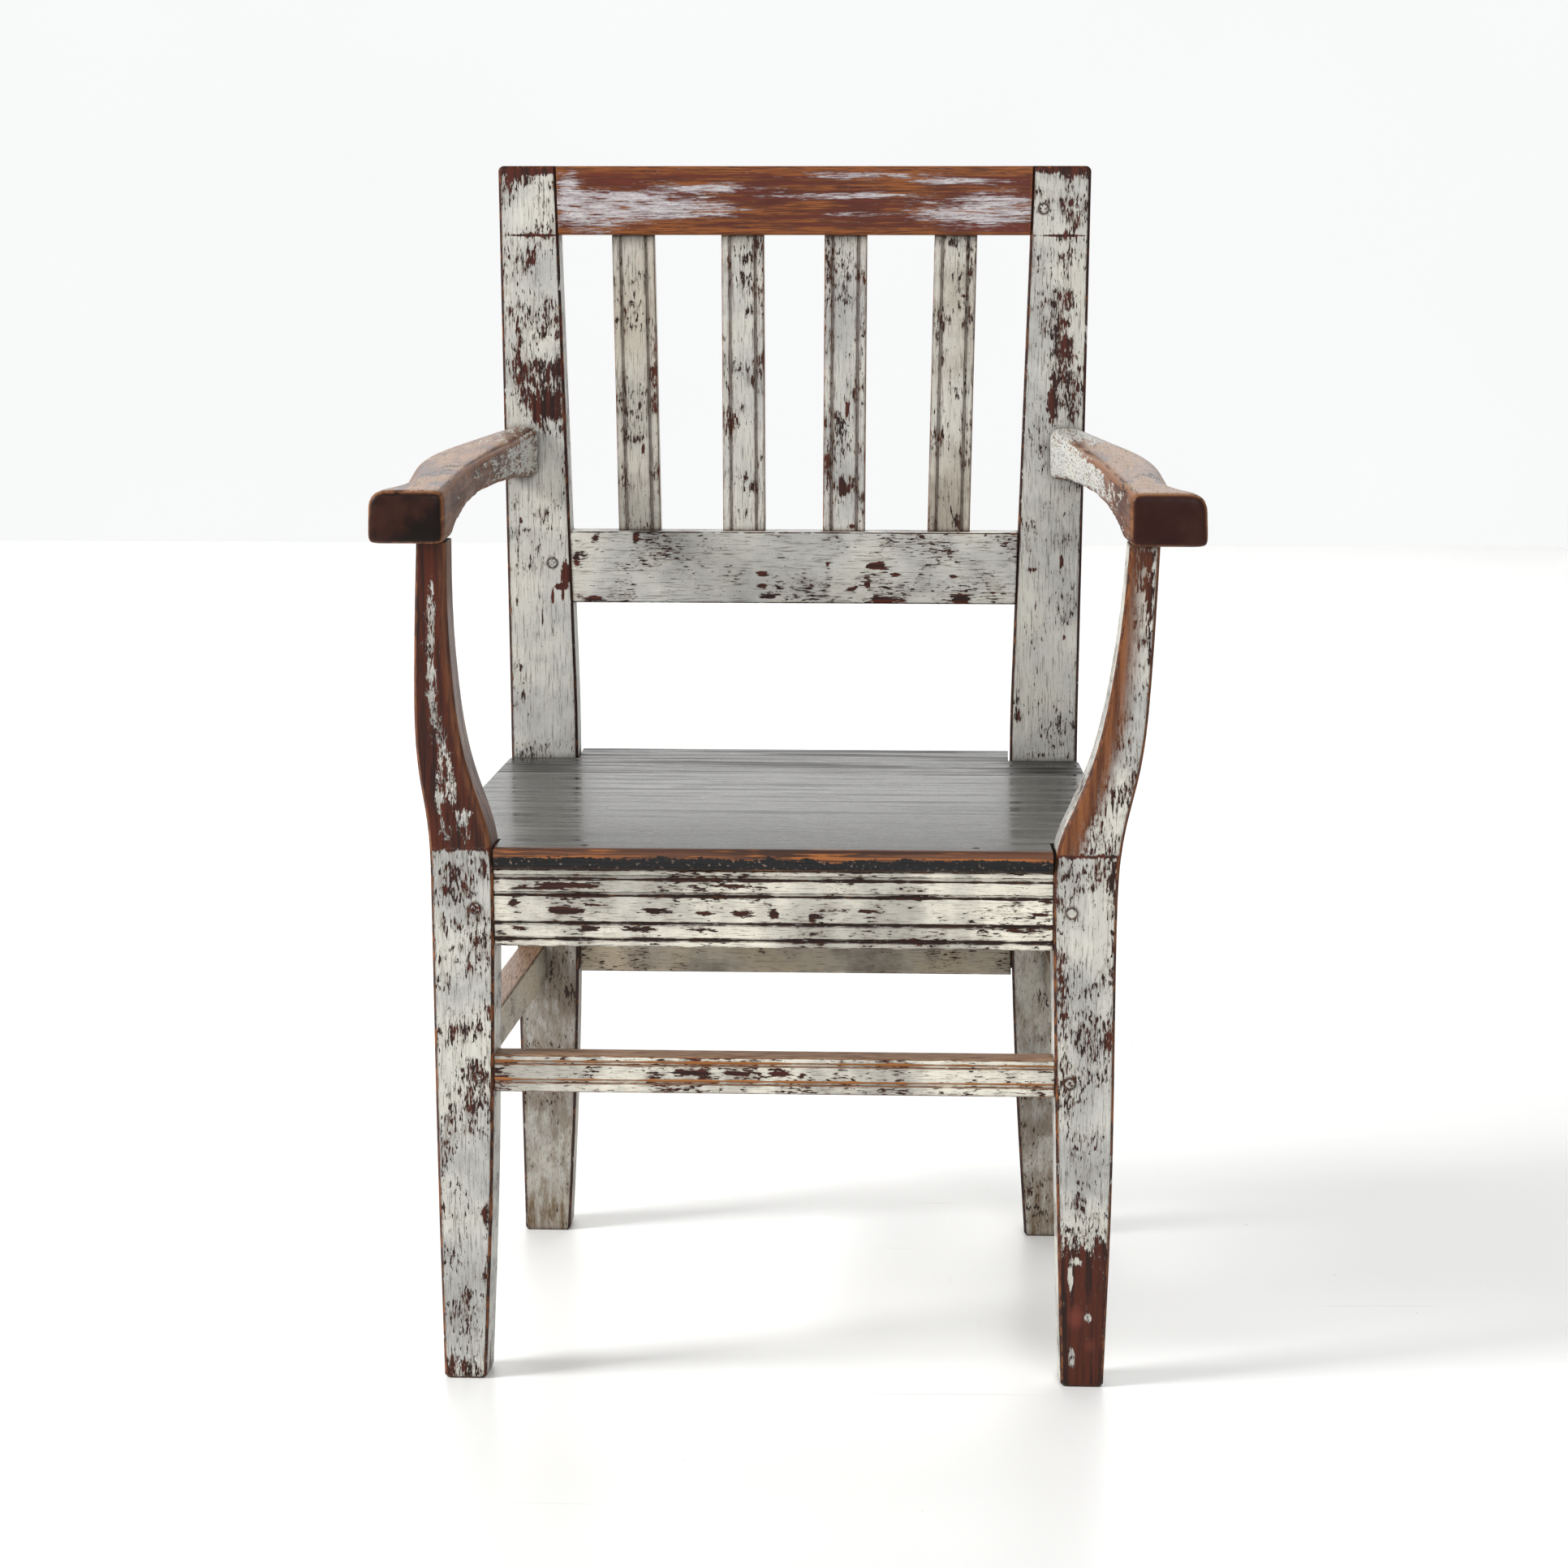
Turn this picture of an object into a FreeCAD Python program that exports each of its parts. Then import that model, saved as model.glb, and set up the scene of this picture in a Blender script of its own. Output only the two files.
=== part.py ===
import FreeCAD, Part
import math
import os
import Sketcher

# A child's painted pine armchair: sawn front legs that run up into curved arm
# posts, raked back posts with four moulded slats, a two-board seat, reeded front
# rail and stretcher, and outward-curving arms. Every joint is pegged or tenoned.
# Millimetres, +Z up. The origin lies on the floor, below the middle of the
# chair's bounding box. +X is to the right seen from the front, +Y is the back.

os.makedirs("parts", exist_ok=True)
doc = FreeCAD.newDocument("ChildArmchair")
sheet = doc.addObject("Spreadsheet::Sheet", "Sizes")


class Size:
    """A cell of the sheet, or a formula of cells, with its present value."""

    def __init__(self, value, formula):
        self.value = float(value)
        self.formula = formula

    def __add__(self, other):
        other = as_size(other)
        return Size(self.value + other.value, f"({self.formula} + {other.formula})")

    def __sub__(self, other):
        other = as_size(other)
        return Size(self.value - other.value, f"({self.formula} - {other.formula})")

    def __mul__(self, other):
        other = as_size(other)
        return Size(self.value * other.value, f"({self.formula} * {other.formula})")

    def __truediv__(self, other):
        other = as_size(other)
        return Size(self.value / other.value, f"({self.formula} / {other.formula})")

    def __neg__(self):
        return Size(-self.value, f"(0 - {self.formula})")


def as_size(number):
    if isinstance(number, Size):
        return number
    return Size(number, str(number))


def sine(angle):
    return Size(math.sin(math.radians(angle.value)), f"sin({angle.formula} * 1 deg)")


def cosine(angle):
    return Size(math.cos(math.radians(angle.value)), f"cos({angle.formula} * 1 deg)")


cells = []


def size(name, value):
    """Write one named value to the sheet."""
    row = len(cells) + 1
    sheet.set(f"A{row}", name)
    sheet.set(f"B{row}", str(value))
    sheet.setAlias(f"B{row}", name)
    cells.append(name)
    return Size(value, f"Sizes.{name}")


zero = Size(0, "0")
sides = {"left": -1, "right": 1}

# Whole chair
seat_height = size("seat_height", 300.0)
arm_sway = size("arm_sway", 8.0)
foot_sway = size("foot_sway", 1.2)
arm_overhang = size("arm_overhang", 6.0)
back_depth = size("back_depth", 230.5)
stock_reach = size("stock_reach", 900.0)
quarter_turn = size("quarter_turn", 90.0)

# Front legs, with levels as shares of the seat's height
leg_depth = size("leg_depth", 22.0)
leg_out = size("leg_out", 183.4)
leg_width = size("leg_width", 33.8)
foot_draw = size("foot_draw", 2.6)
foot_taper = size("foot_taper", 8.0)
ankle_taper = size("ankle_taper", 3.4)
knee_taper = size("knee_taper", 0.6)
ankle_share = size("ankle_share", 0.373)
knee_share = size("knee_share", 0.773)

# Curved posts above the legs, with levels as shares of the rise from seat to arm
post_drop = size("post_drop", 23.0)
post_front_set_back = size("post_front_set_back", 4.0)
post_back_set_in = size("post_back_set_in", 2.0)
post_arris_drop = size("post_arris_drop", 2.0)
post_level_b_share = size("post_level_b_share", 0.11)
post_level_c_share = size("post_level_c_share", 0.23)
post_level_d_share = size("post_level_d_share", 0.377)
post_level_e_share = size("post_level_e_share", 0.596)
post_level_f_share = size("post_level_f_share", 0.802)
post_out_a = size("post_out_a", 1.0)
post_out_b = size("post_out_b", 3.4)
post_out_c = size("post_out_c", 8.0)
post_out_d = size("post_out_d", 11.2)
post_out_e = size("post_out_e", 12.2)
post_out_f = size("post_out_f", 12.6)
post_in_b = size("post_in_b", 6.4)
post_in_c = size("post_in_c", 14.6)
post_in_d = size("post_in_d", 21.4)
post_in_e = size("post_in_e", 26.6)
post_in_f = size("post_in_f", 29.6)
post_in_top = size("post_in_top", 30.4)

# Arms: corners of the sawn plan, each rounded over its own sweep
arm_rise = size("arm_rise", 193.5)
arm_thickness = size("arm_thickness", 29.0)
arm_end_slope = size("arm_end_slope", 2.0)
arm_tip_out = size("arm_tip_out", 40.0)
arm_waist_out = size("arm_waist_out", 20.6)
arm_elbow_out = size("arm_elbow_out", 21.1)
arm_root_out = size("arm_root_out", 1.8)
arm_root_width = size("arm_root_width", 20.0)
arm_neck_draw = size("arm_neck_draw", 14.2)
arm_bend_draw = size("arm_bend_draw", 13.0)
arm_tip_draw = size("arm_tip_draw", 3.8)
arm_waist_share = size("arm_waist_share", 0.1215)
arm_elbow_share = size("arm_elbow_share", 0.56)
arm_bend_share = size("arm_bend_share", 0.455)
arm_neck_share = size("arm_neck_share", 0.92)
arm_waist_sweep = size("arm_waist_sweep", 16.0)
arm_elbow_sweep = size("arm_elbow_sweep", 37.0)
arm_bend_sweep = size("arm_bend_sweep", 28.0)
arm_neck_sweep = size("arm_neck_sweep", 15.0)
sway_share = size("sway_share", 0.694)
arch_start_share = size("arch_start_share", 0.104)
arch_near_share = size("arch_near_share", 0.226)
arch_far_share = size("arch_far_share", 0.746)
arch_end_share = size("arch_end_share", 1.024)
arm_arch_rise = size("arm_arch_rise", 12.8)

# Back posts
back_lean = size("back_lean", 4.96)
back_kick = size("back_kick", 22.0)
stile_thickness = size("stile_thickness", 22.0)
stile_length = size("stile_length", 343.8)
stile_out_seat = size("stile_out_seat", 165.8)
stile_out_top = stile_out_seat + size("stile_flare", 5.2)
stile_out_foot = stile_out_seat - size("stile_foot_draw", 0.4)
stile_width_seat = size("stile_width_seat", 39.8)
stile_width_top = size("stile_width_top", 33.4)
stile_shin_taper = size("stile_shin_taper", 2.8)
stile_calf_taper = size("stile_calf_taper", 6.6)
stile_foot_taper = size("stile_foot_taper", 12.0)
stile_shin_share = size("stile_shin_share", 0.533)
stile_calf_share = size("stile_calf_share", 0.267)
stile_bend_share = size("stile_bend_share", 0.116)
stile_knuckle_share = size("stile_knuckle_share", 0.041)

# Rails of the back, measured along the raked posts
back_rail_thickness = size("back_rail_thickness", 20.0)
top_rail_width = size("top_rail_width", 39.5)
lower_rail_width = size("lower_rail_width", 41.9)
lower_rail_share = size("lower_rail_share", 0.265)

# Slats, set out by shares of the half width between the posts
slat_width = size("slat_width", 24.6)
slat_thickness = size("slat_thickness", 8.0)
slat_set_back = size("slat_set_back", 6.0)
slat_bead_width = size("slat_bead_width", 4.2)
slat_groove_width = size("slat_groove_width", 1.5)
slat_groove_depth = size("slat_groove_depth", 0.9)
slat_inner_low_share = size("slat_inner_low_share", 0.223)
slat_outer_low_share = size("slat_outer_low_share", 0.691)
slat_inner_high_share = size("slat_inner_high_share", 0.2195)
slat_outer_high_share = size("slat_outer_high_share", 0.686)
slat_tenon_share = size("slat_tenon_share", 0.68)
slat_tenon_thickness = size("slat_tenon_thickness", 4.6)
slat_tenon_length = size("slat_tenon_length", 9.0)

# Seat boards
seat_thickness = size("seat_thickness", 11.4)
seat_nose = size("seat_nose", 1.0)
seat_lip_front = size("seat_lip_front", 1.8)
seat_lip_back = size("seat_lip_back", 1.6)
seat_joint_share = size("seat_joint_share", 0.811)
seat_joint_gap = size("seat_joint_gap", 0.4)
seat_tail = size("seat_tail", 24.5)

# Seat rails and stretchers
rail_set_back = size("rail_set_back", 1.0)
rail_thickness = size("rail_thickness", 18.0)
rail_width = size("rail_width", 42.7)
side_rail_width = size("side_rail_width", 16.0)
rear_bar_set_back = size("rear_bar_set_back", 3.0)
rear_rail_thickness = size("rear_rail_thickness", 16.0)
rear_stretcher_thickness = size("rear_stretcher_thickness", 14.0)
front_stretcher_share = size("front_stretcher_share", 0.5473)
front_stretcher_width = size("front_stretcher_width", 20.8)
front_stretcher_thickness = size("front_stretcher_thickness", 13.0)
side_stretcher_share = size("side_stretcher_share", 0.5333)
side_stretcher_width = size("side_stretcher_width", 23.0)
rear_stretcher_share = size("rear_stretcher_share", 0.5533)
rear_stretcher_width = size("rear_stretcher_width", 21.0)
reed_radius = size("reed_radius", 1.2)
reed_a_share = size("reed_a_share", 0.1)
reed_b_share = size("reed_b_share", 0.305)
reed_c_share = size("reed_c_share", 0.685)
reed_d_share = size("reed_d_share", 0.905)
stretcher_reed_a_share = size("stretcher_reed_a_share", 0.3)
stretcher_reed_b_share = size("stretcher_reed_b_share", 0.8)

# Joints
tenon_thickness = size("tenon_thickness", 8.0)
tenon_length = size("tenon_length", 16.0)
tenon_gap = size("tenon_gap", 0.2)
tenon_cheek = size("tenon_cheek", 6.0)
rail_shoulder = size("rail_shoulder", 6.0)
stretcher_shoulder = size("stretcher_shoulder", 3.5)
side_tenon_length = size("side_tenon_length", 12.0)
arm_tenon_height = size("arm_tenon_height", 16.0)
arm_tenon_width = size("arm_tenon_width", 9.0)
post_tenon_height = size("post_tenon_height", 14.0)
post_tenon_width = size("post_tenon_width", 10.0)
peg_radius = size("peg_radius", 2.9)
peg_proud = size("peg_proud", 0.4)
peg_length = size("peg_length", 18.0)
peg_gap = size("peg_gap", 0.1)
leg_peg_inset = size("leg_peg_inset", 10.0)
rail_peg_share = size("rail_peg_share", 0.494)
stretcher_peg_share = size("stretcher_peg_share", 0.404)
back_peg_inset = size("back_peg_inset", 7.0)
lower_rail_peg_inset = size("lower_rail_peg_inset", 11.2)
lower_rail_peg_share = size("lower_rail_peg_share", 0.552)
top_rail_peg_share = size("top_rail_peg_share", 0.382)
nail_radius = size("nail_radius", 1.8)
nail_head = size("nail_head", 0.8)
nail_length = size("nail_length", 24.0)
nail_shank_radius = size("nail_shank_radius", 1.0)
seat_nail_left_share = size("seat_nail_left_share", 0.678)
seat_nail_right_share = size("seat_nail_right_share", 0.725)
seat_nail_depth = size("seat_nail_depth", 9.5)

# Softened edges
worn_edge = size("worn_edge", 1.5)
worn_rail_edge = size("worn_rail_edge", 1.6)
worn_seat_edge = size("worn_seat_edge", 2.6)
worn_nose = size("worn_nose", 3.4)
worn_slat_edge = size("worn_slat_edge", 0.9)
worn_corner = size("worn_corner", 3.2)
worn_sole = size("worn_sole", 1.8)
worn_heel = size("worn_heel", 1.0)
arm_outer_round = size("arm_outer_round", 8.0)
arm_inner_round = size("arm_inner_round", 4.2)
arm_end_round = size("arm_end_round", 3.6)

# Positions that follow from the sizes above
rise = cosine(back_lean)
run = sine(back_lean)
ankle_height = seat_height * ankle_share
knee_height = seat_height * knee_share
arm_height = seat_height + arm_rise
post_start = seat_height - post_drop
post_top = arm_height - arm_thickness
post_tall = post_top - post_start
post_rise = post_top - seat_height
post_level_shares = [
    post_level_b_share,
    post_level_c_share,
    post_level_d_share,
    post_level_e_share,
    post_level_f_share,
]
post_levels = [seat_height] + [seat_height + post_rise * share for share in post_level_shares]
post_outs = [post_out_a, post_out_b, post_out_c, post_out_d, post_out_e, post_out_f, post_out_f]
post_ins = [post_in_b, post_in_c, post_in_d, post_in_e, post_in_f, post_in_top]
leg_in = leg_out - leg_width
foot_out = leg_out - foot_draw
foot_in = leg_in + foot_taper
ankle_in = leg_in + ankle_taper
knee_in = leg_in + knee_taper
seat_under = seat_height - seat_thickness
rail_low = seat_under - rail_width
front_stretcher_low = seat_height * front_stretcher_share
front_stretcher_high = front_stretcher_low + front_stretcher_width
side_stretcher_low = seat_height * side_stretcher_share
side_stretcher_high = side_stretcher_low + side_stretcher_width
rear_stretcher_low = seat_height * rear_stretcher_share
rear_stretcher_high = rear_stretcher_low + rear_stretcher_width
stile_in_seat = stile_out_seat - stile_width_seat
stile_in_top = stile_out_top - stile_width_top
stile_in_shin = stile_in_seat + stile_shin_taper
stile_in_calf = stile_in_seat + stile_calf_taper
stile_in_foot = stile_in_seat + stile_foot_taper
stile_shin_height = seat_height * stile_shin_share
stile_calf_height = seat_height * stile_calf_share
stile_bend = stile_length * stile_bend_share
stile_knuckle = stile_length * stile_knuckle_share
stile_back_top = back_depth + stile_length * run + stile_thickness * rise
top_rail_low = stile_length - top_rail_width
lower_rail_low = stile_length * lower_rail_share
lower_rail_high = lower_rail_low + lower_rail_width
shift_x = -arm_sway
shift_y = (arm_overhang - stile_back_top) / 2
side_slope = (leg_out - stile_out_foot) / back_depth
leg_in_back = leg_in - side_slope * leg_depth
sway_end = back_depth * sway_share
arm_back_out = stile_out_seat + arm_root_out
arm_back_in = arm_back_out - arm_root_width
into_y = -quarter_turn
into_rake = -quarter_turn - back_lean
down = quarter_turn * 2
leg_peg_x = leg_in + leg_peg_inset
rail_peg_height = rail_low + rail_width * rail_peg_share
stretcher_peg_height = front_stretcher_low + front_stretcher_width * stretcher_peg_share
reed_shares = [reed_a_share, reed_b_share, reed_c_share, reed_d_share]
stretcher_reed_shares = [stretcher_reed_a_share, stretcher_reed_b_share]


def side_out_at(depth):
    """Outer face of the front legs and side bars, which draw in toward the back."""
    return leg_out - side_slope * depth


def post_centre(sign):
    """Middle of an arm post's top, where its tenon stands."""
    inner = leg_in + post_in_top
    middle = (leg_out + post_out_f + inner) / 2 - side_slope * leg_depth / 2
    return middle * sign + arm_sway


def stile_in_at(height):
    """Inner face of a back post below the seat, at a height above the floor."""
    drop = (seat_height - height) / (seat_height - stile_shin_height)
    return stile_in_seat + stile_shin_taper * drop


def stile_in_up(up):
    """Inner face of a back post above the seat, at a distance up the rake."""
    return stile_in_seat + (stile_in_top - stile_in_seat) * (up / stile_length)


def stile_out_up(up):
    """Outer face of a back post above the seat, at a distance up the rake."""
    return stile_out_seat + (stile_out_top - stile_out_seat) * (up / stile_length)


def stile_front_at(height):
    """Front face of a back post below the seat, at a height above the floor."""
    return back_depth + back_kick * (seat_height - height) / seat_height


def raked(inward, up):
    """Depth and height of a point given inward from and up the raked front face."""
    depth = back_depth + inward * rise + up * run
    height = seat_height - inward * run + up * rise
    return depth, height


def side_tenon_end(low):
    """Depth to which a side bar's rear tenon reaches, from the bar's lower face."""
    return stile_front_at(low) + side_tenon_length


def arm_end_at(height):
    """Depth of a back post's raked front face at a height above the floor."""
    return back_depth + (height - seat_height) * run / rise


def post_sway(height):
    return arm_sway * (height - post_start) / post_tall


def plan_sway(depth):
    return arm_sway * (sway_end - depth) / sway_end


# Building helpers
pieces = []


def new_body(name, x=zero, y=zero, z=zero, tilt=None):
    """A body whose own frame stands at x, y, z of the chair, tilted back by tilt."""
    body = doc.addObject("PartDesign::Body", name)
    body.Label = name
    if tilt is not None:
        turn_about_x(body, -tilt)
    bind_base(body, shift_x + x, shift_y + y, z)
    pieces.append(body)
    doc.recompute()
    return body


def turn_about_x(thing, angle):
    turn = FreeCAD.Rotation(FreeCAD.Vector(1, 0, 0), -1)
    thing.Placement = FreeCAD.Placement(FreeCAD.Vector(0, 0, 0), turn)
    thing.setExpression("Placement.Rotation.Angle", angle.formula)


def bind_base(thing, x, y, z):
    thing.setExpression("Placement.Base.x", as_size(x).formula)
    thing.setExpression("Placement.Base.y", as_size(y).formula)
    thing.setExpression("Placement.Base.z", as_size(z).formula)


def straight(*points):
    return "straight", list(points)


def curve(*points):
    return "curve", list(points)


def vector(point):
    return FreeCAD.Vector(as_size(point[0]).value, as_size(point[1]).value, 0)


def pin(sketch, geometry, end, point):
    """Hold one point of a sketch at its two coordinates."""
    for kind, place in (("DistanceX", point[0]), ("DistanceY", point[1])):
        place = as_size(place)
        held = Sketcher.Constraint(kind, -1, 1, geometry, end, place.value)
        number = sketch.addConstraint(held)
        if place.formula != "0":
            sketch.setExpression(f"Constraints[{number}]", place.formula)


def spline(points):
    poles = [vector(point) for point in points]
    degree = min(3, len(poles) - 1)
    inner = len(poles) - degree - 1
    knots = [float(number) for number in range(inner + 2)]
    folds = [degree + 1] + [1] * inner + [degree + 1]
    shape = Part.BSplineCurve()
    shape.buildFromPolesMultsKnots(poles, folds, knots, False, degree)
    return shape


def draw(sketch, runs):
    """Close one outline of straight and curved runs, each point held by its sizes."""
    first = None
    last = None
    segments = []
    for kind, points in runs:
        if kind == "curve":
            segments.append((kind, points))
        else:
            segments += [(kind, list(pair)) for pair in zip(points, points[1:])]
    for number, (kind, points) in enumerate(segments):
        closing = number == len(segments) - 1
        if kind == "curve":
            geometry = sketch.addGeometry(spline(points), False)
            before = len(sketch.Geometry)
            sketch.exposeInternalGeometry(geometry)
            poles = range(before, before + len(points))
            start = 0 if first is None else 1
            stop = len(points) - 1 if closing else len(points)
            for index in range(start, stop):
                pin(sketch, poles[index], 3, points[index])
        else:
            line = Part.LineSegment(vector(points[0]), vector(points[1]))
            geometry = sketch.addGeometry(line, False)
            if first is None:
                pin(sketch, geometry, 1, points[0])
            if not closing:
                pin(sketch, geometry, 2, points[1])
        if last is not None:
            joint = Sketcher.Constraint("Coincident", last, 2, geometry, 1)
            sketch.addConstraint(joint)
        if first is None:
            first = geometry
        last = geometry
    sketch.addConstraint(Sketcher.Constraint("Coincident", last, 2, first, 1))


def draw_rounded(sketch, corners):
    """Close one outline of straight runs through corners, some of them rounded."""
    places = [vector(corner) for corner in corners]
    count = len(corners)
    cuts = []
    for index, corner in enumerate(corners):
        back = (places[index - 1] - places[index]).normalize()
        ahead = (places[(index + 1) % count] - places[index]).normalize()
        if corner[2] is None:
            cuts.append((places[index], None, places[index]))
            continue
        half = back.getAngle(ahead) / 2
        reach = corner[2].value
        radius = reach * math.tan(half)
        middle = (back + ahead).normalize() * (radius / math.sin(half) - radius)
        start = places[index] + back * reach
        end = places[index] + ahead * reach
        cuts.append((start, places[index] + middle, end))
    lines = []
    for index in range(count):
        ends = (cuts[index][2], cuts[(index + 1) % count][0])
        lines.append(sketch.addGeometry(Part.LineSegment(*ends), False))
    for index, corner in enumerate(corners):
        before, after = lines[index - 1], lines[index]
        if corner[2] is None:
            sketch.addConstraint(Sketcher.Constraint("Coincident", before, 2, after, 1))
            pin(sketch, after, 1, corner)
            continue
        arc = sketch.addGeometry(Part.Arc(*cuts[index]), False)
        tip = sketch.getPoint(arc, 1)
        forward = tip.distanceToPoint(cuts[index][0]) < tip.distanceToPoint(cuts[index][2])
        first, second = (1, 2) if forward else (2, 1)
        sketch.addConstraint(Sketcher.Constraint("Tangent", before, 2, arc, first))
        sketch.addConstraint(Sketcher.Constraint("Tangent", after, 1, arc, second))
        point = sketch.addGeometry(Part.Point(places[index]), True)
        pin(sketch, point, 1, corner)
        for line in (before, after):
            sketch.addConstraint(Sketcher.Constraint("PointOnObject", point, 1, line))
        held = Sketcher.Constraint("Distance", point, 1, arc, first, corner[2].value)
        number = sketch.addConstraint(held)
        sketch.setExpression(f"Constraints[{number}]", corner[2].formula)
    doc.recompute()


def new_sketch(body, name, role, outlines):
    sketch = body.newObject("Sketcher::SketchObject", name)
    plane = [item for item in body.Origin.OriginFeatures if item.Role == role][0]
    sketch.AttachmentSupport = [(plane, "")]
    sketch.MapMode = "FlatFace"
    doc.recompute()
    for runs in outlines:
        draw(sketch, runs)
    doc.recompute()
    return sketch


def frame_of(low, high):
    return straight((low, low), (high, low), (high, high), (low, high), (low, low))


def pad(body, role, runs, length, backward=False, both=False):
    feature = body.newObject("PartDesign::Pad", f"{body.Name}_pad")
    feature.Profile = new_sketch(body, f"{body.Name}_outline", role, [runs])
    feature.setExpression("Length", length.formula)
    feature.Reversed = backward
    if both:
        feature.SideType = "Symmetric"
    doc.recompute()
    return feature


def pocket(body, name, role, outlines, depth=None, backward=False):
    """Cut the drawn regions away, right through or to a depth, and see that it cut."""
    before = body.Shape.Volume
    feature = body.newObject("PartDesign::Pocket", f"{body.Name}_{name}")
    feature.Profile = new_sketch(body, f"{body.Name}_{name}_lines", role, outlines)
    feature.Reversed = backward
    if depth is None:
        feature.Type = "ThroughAll"
        feature.SideType = "Symmetric"
    else:
        feature.setExpression("Length", depth.formula)
    doc.recompute()
    if body.Shape.Volume >= before:
        raise SystemExit(f"{body.Name} {name} cut nothing")
    return feature


def trim(body, name, role, runs):
    """Keep only what lies inside the outline, seen square to the named plane."""
    return pocket(body, name, role, [[frame_of(-stock_reach, stock_reach)], runs])


def box(body, kind, name, x, y, z, gap=zero):
    """A tenon or mortise from pairs of low and high values, widened by the gap."""
    low = [pair[0] - gap for pair in (x, y, z)]
    spans = [pair[1] - pair[0] + gap * 2 for pair in (x, y, z)]
    feature = body.newObject(f"PartDesign::{kind}Box", f"{body.Name}_{name}")
    for side, span in zip(("Length", "Width", "Height"), spans):
        feature.setExpression(side, span.formula)
    bind_base(feature, *low)
    doc.recompute()
    return feature


def ordered(one, other):
    """The two values with the smaller first."""
    if one.value <= other.value:
        return one, other
    return other, one


def bore(body, name, x, y, z, radius, length, turn):
    """A round hole that starts at x, y, z and runs along the turned axis."""
    feature = body.newObject("PartDesign::SubtractiveCylinder", f"{body.Name}_{name}")
    turn_about_x(feature, turn)
    feature.setExpression("Radius", radius.formula)
    feature.setExpression("Height", length.formula)
    bind_base(feature, x, y, z)
    doc.recompute()
    return feature


def soften(body, name, radius, wanted, kind="Fillet"):
    """Round or bevel the edges that the test accepts."""
    base = body.Tip
    names = []
    for number, edge in enumerate(base.Shape.Edges, 1):
        if wanted(edge):
            names.append(f"Edge{number}")
    if not names:
        raise SystemExit(f"{body.Name} {name} found no edge")
    feature = body.newObject(f"PartDesign::{kind}", f"{body.Name}_{name}")
    feature.Base = (base, names)
    feature.setExpression("Radius" if kind == "Fillet" else "Size", radius.formula)
    doc.recompute()
    return feature


def along(edge, axis):
    """How far an edge runs along one axis."""
    box_of = edge.BoundBox
    return {"x": box_of.XLength, "y": box_of.YLength, "z": box_of.ZLength}[axis]


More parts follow.
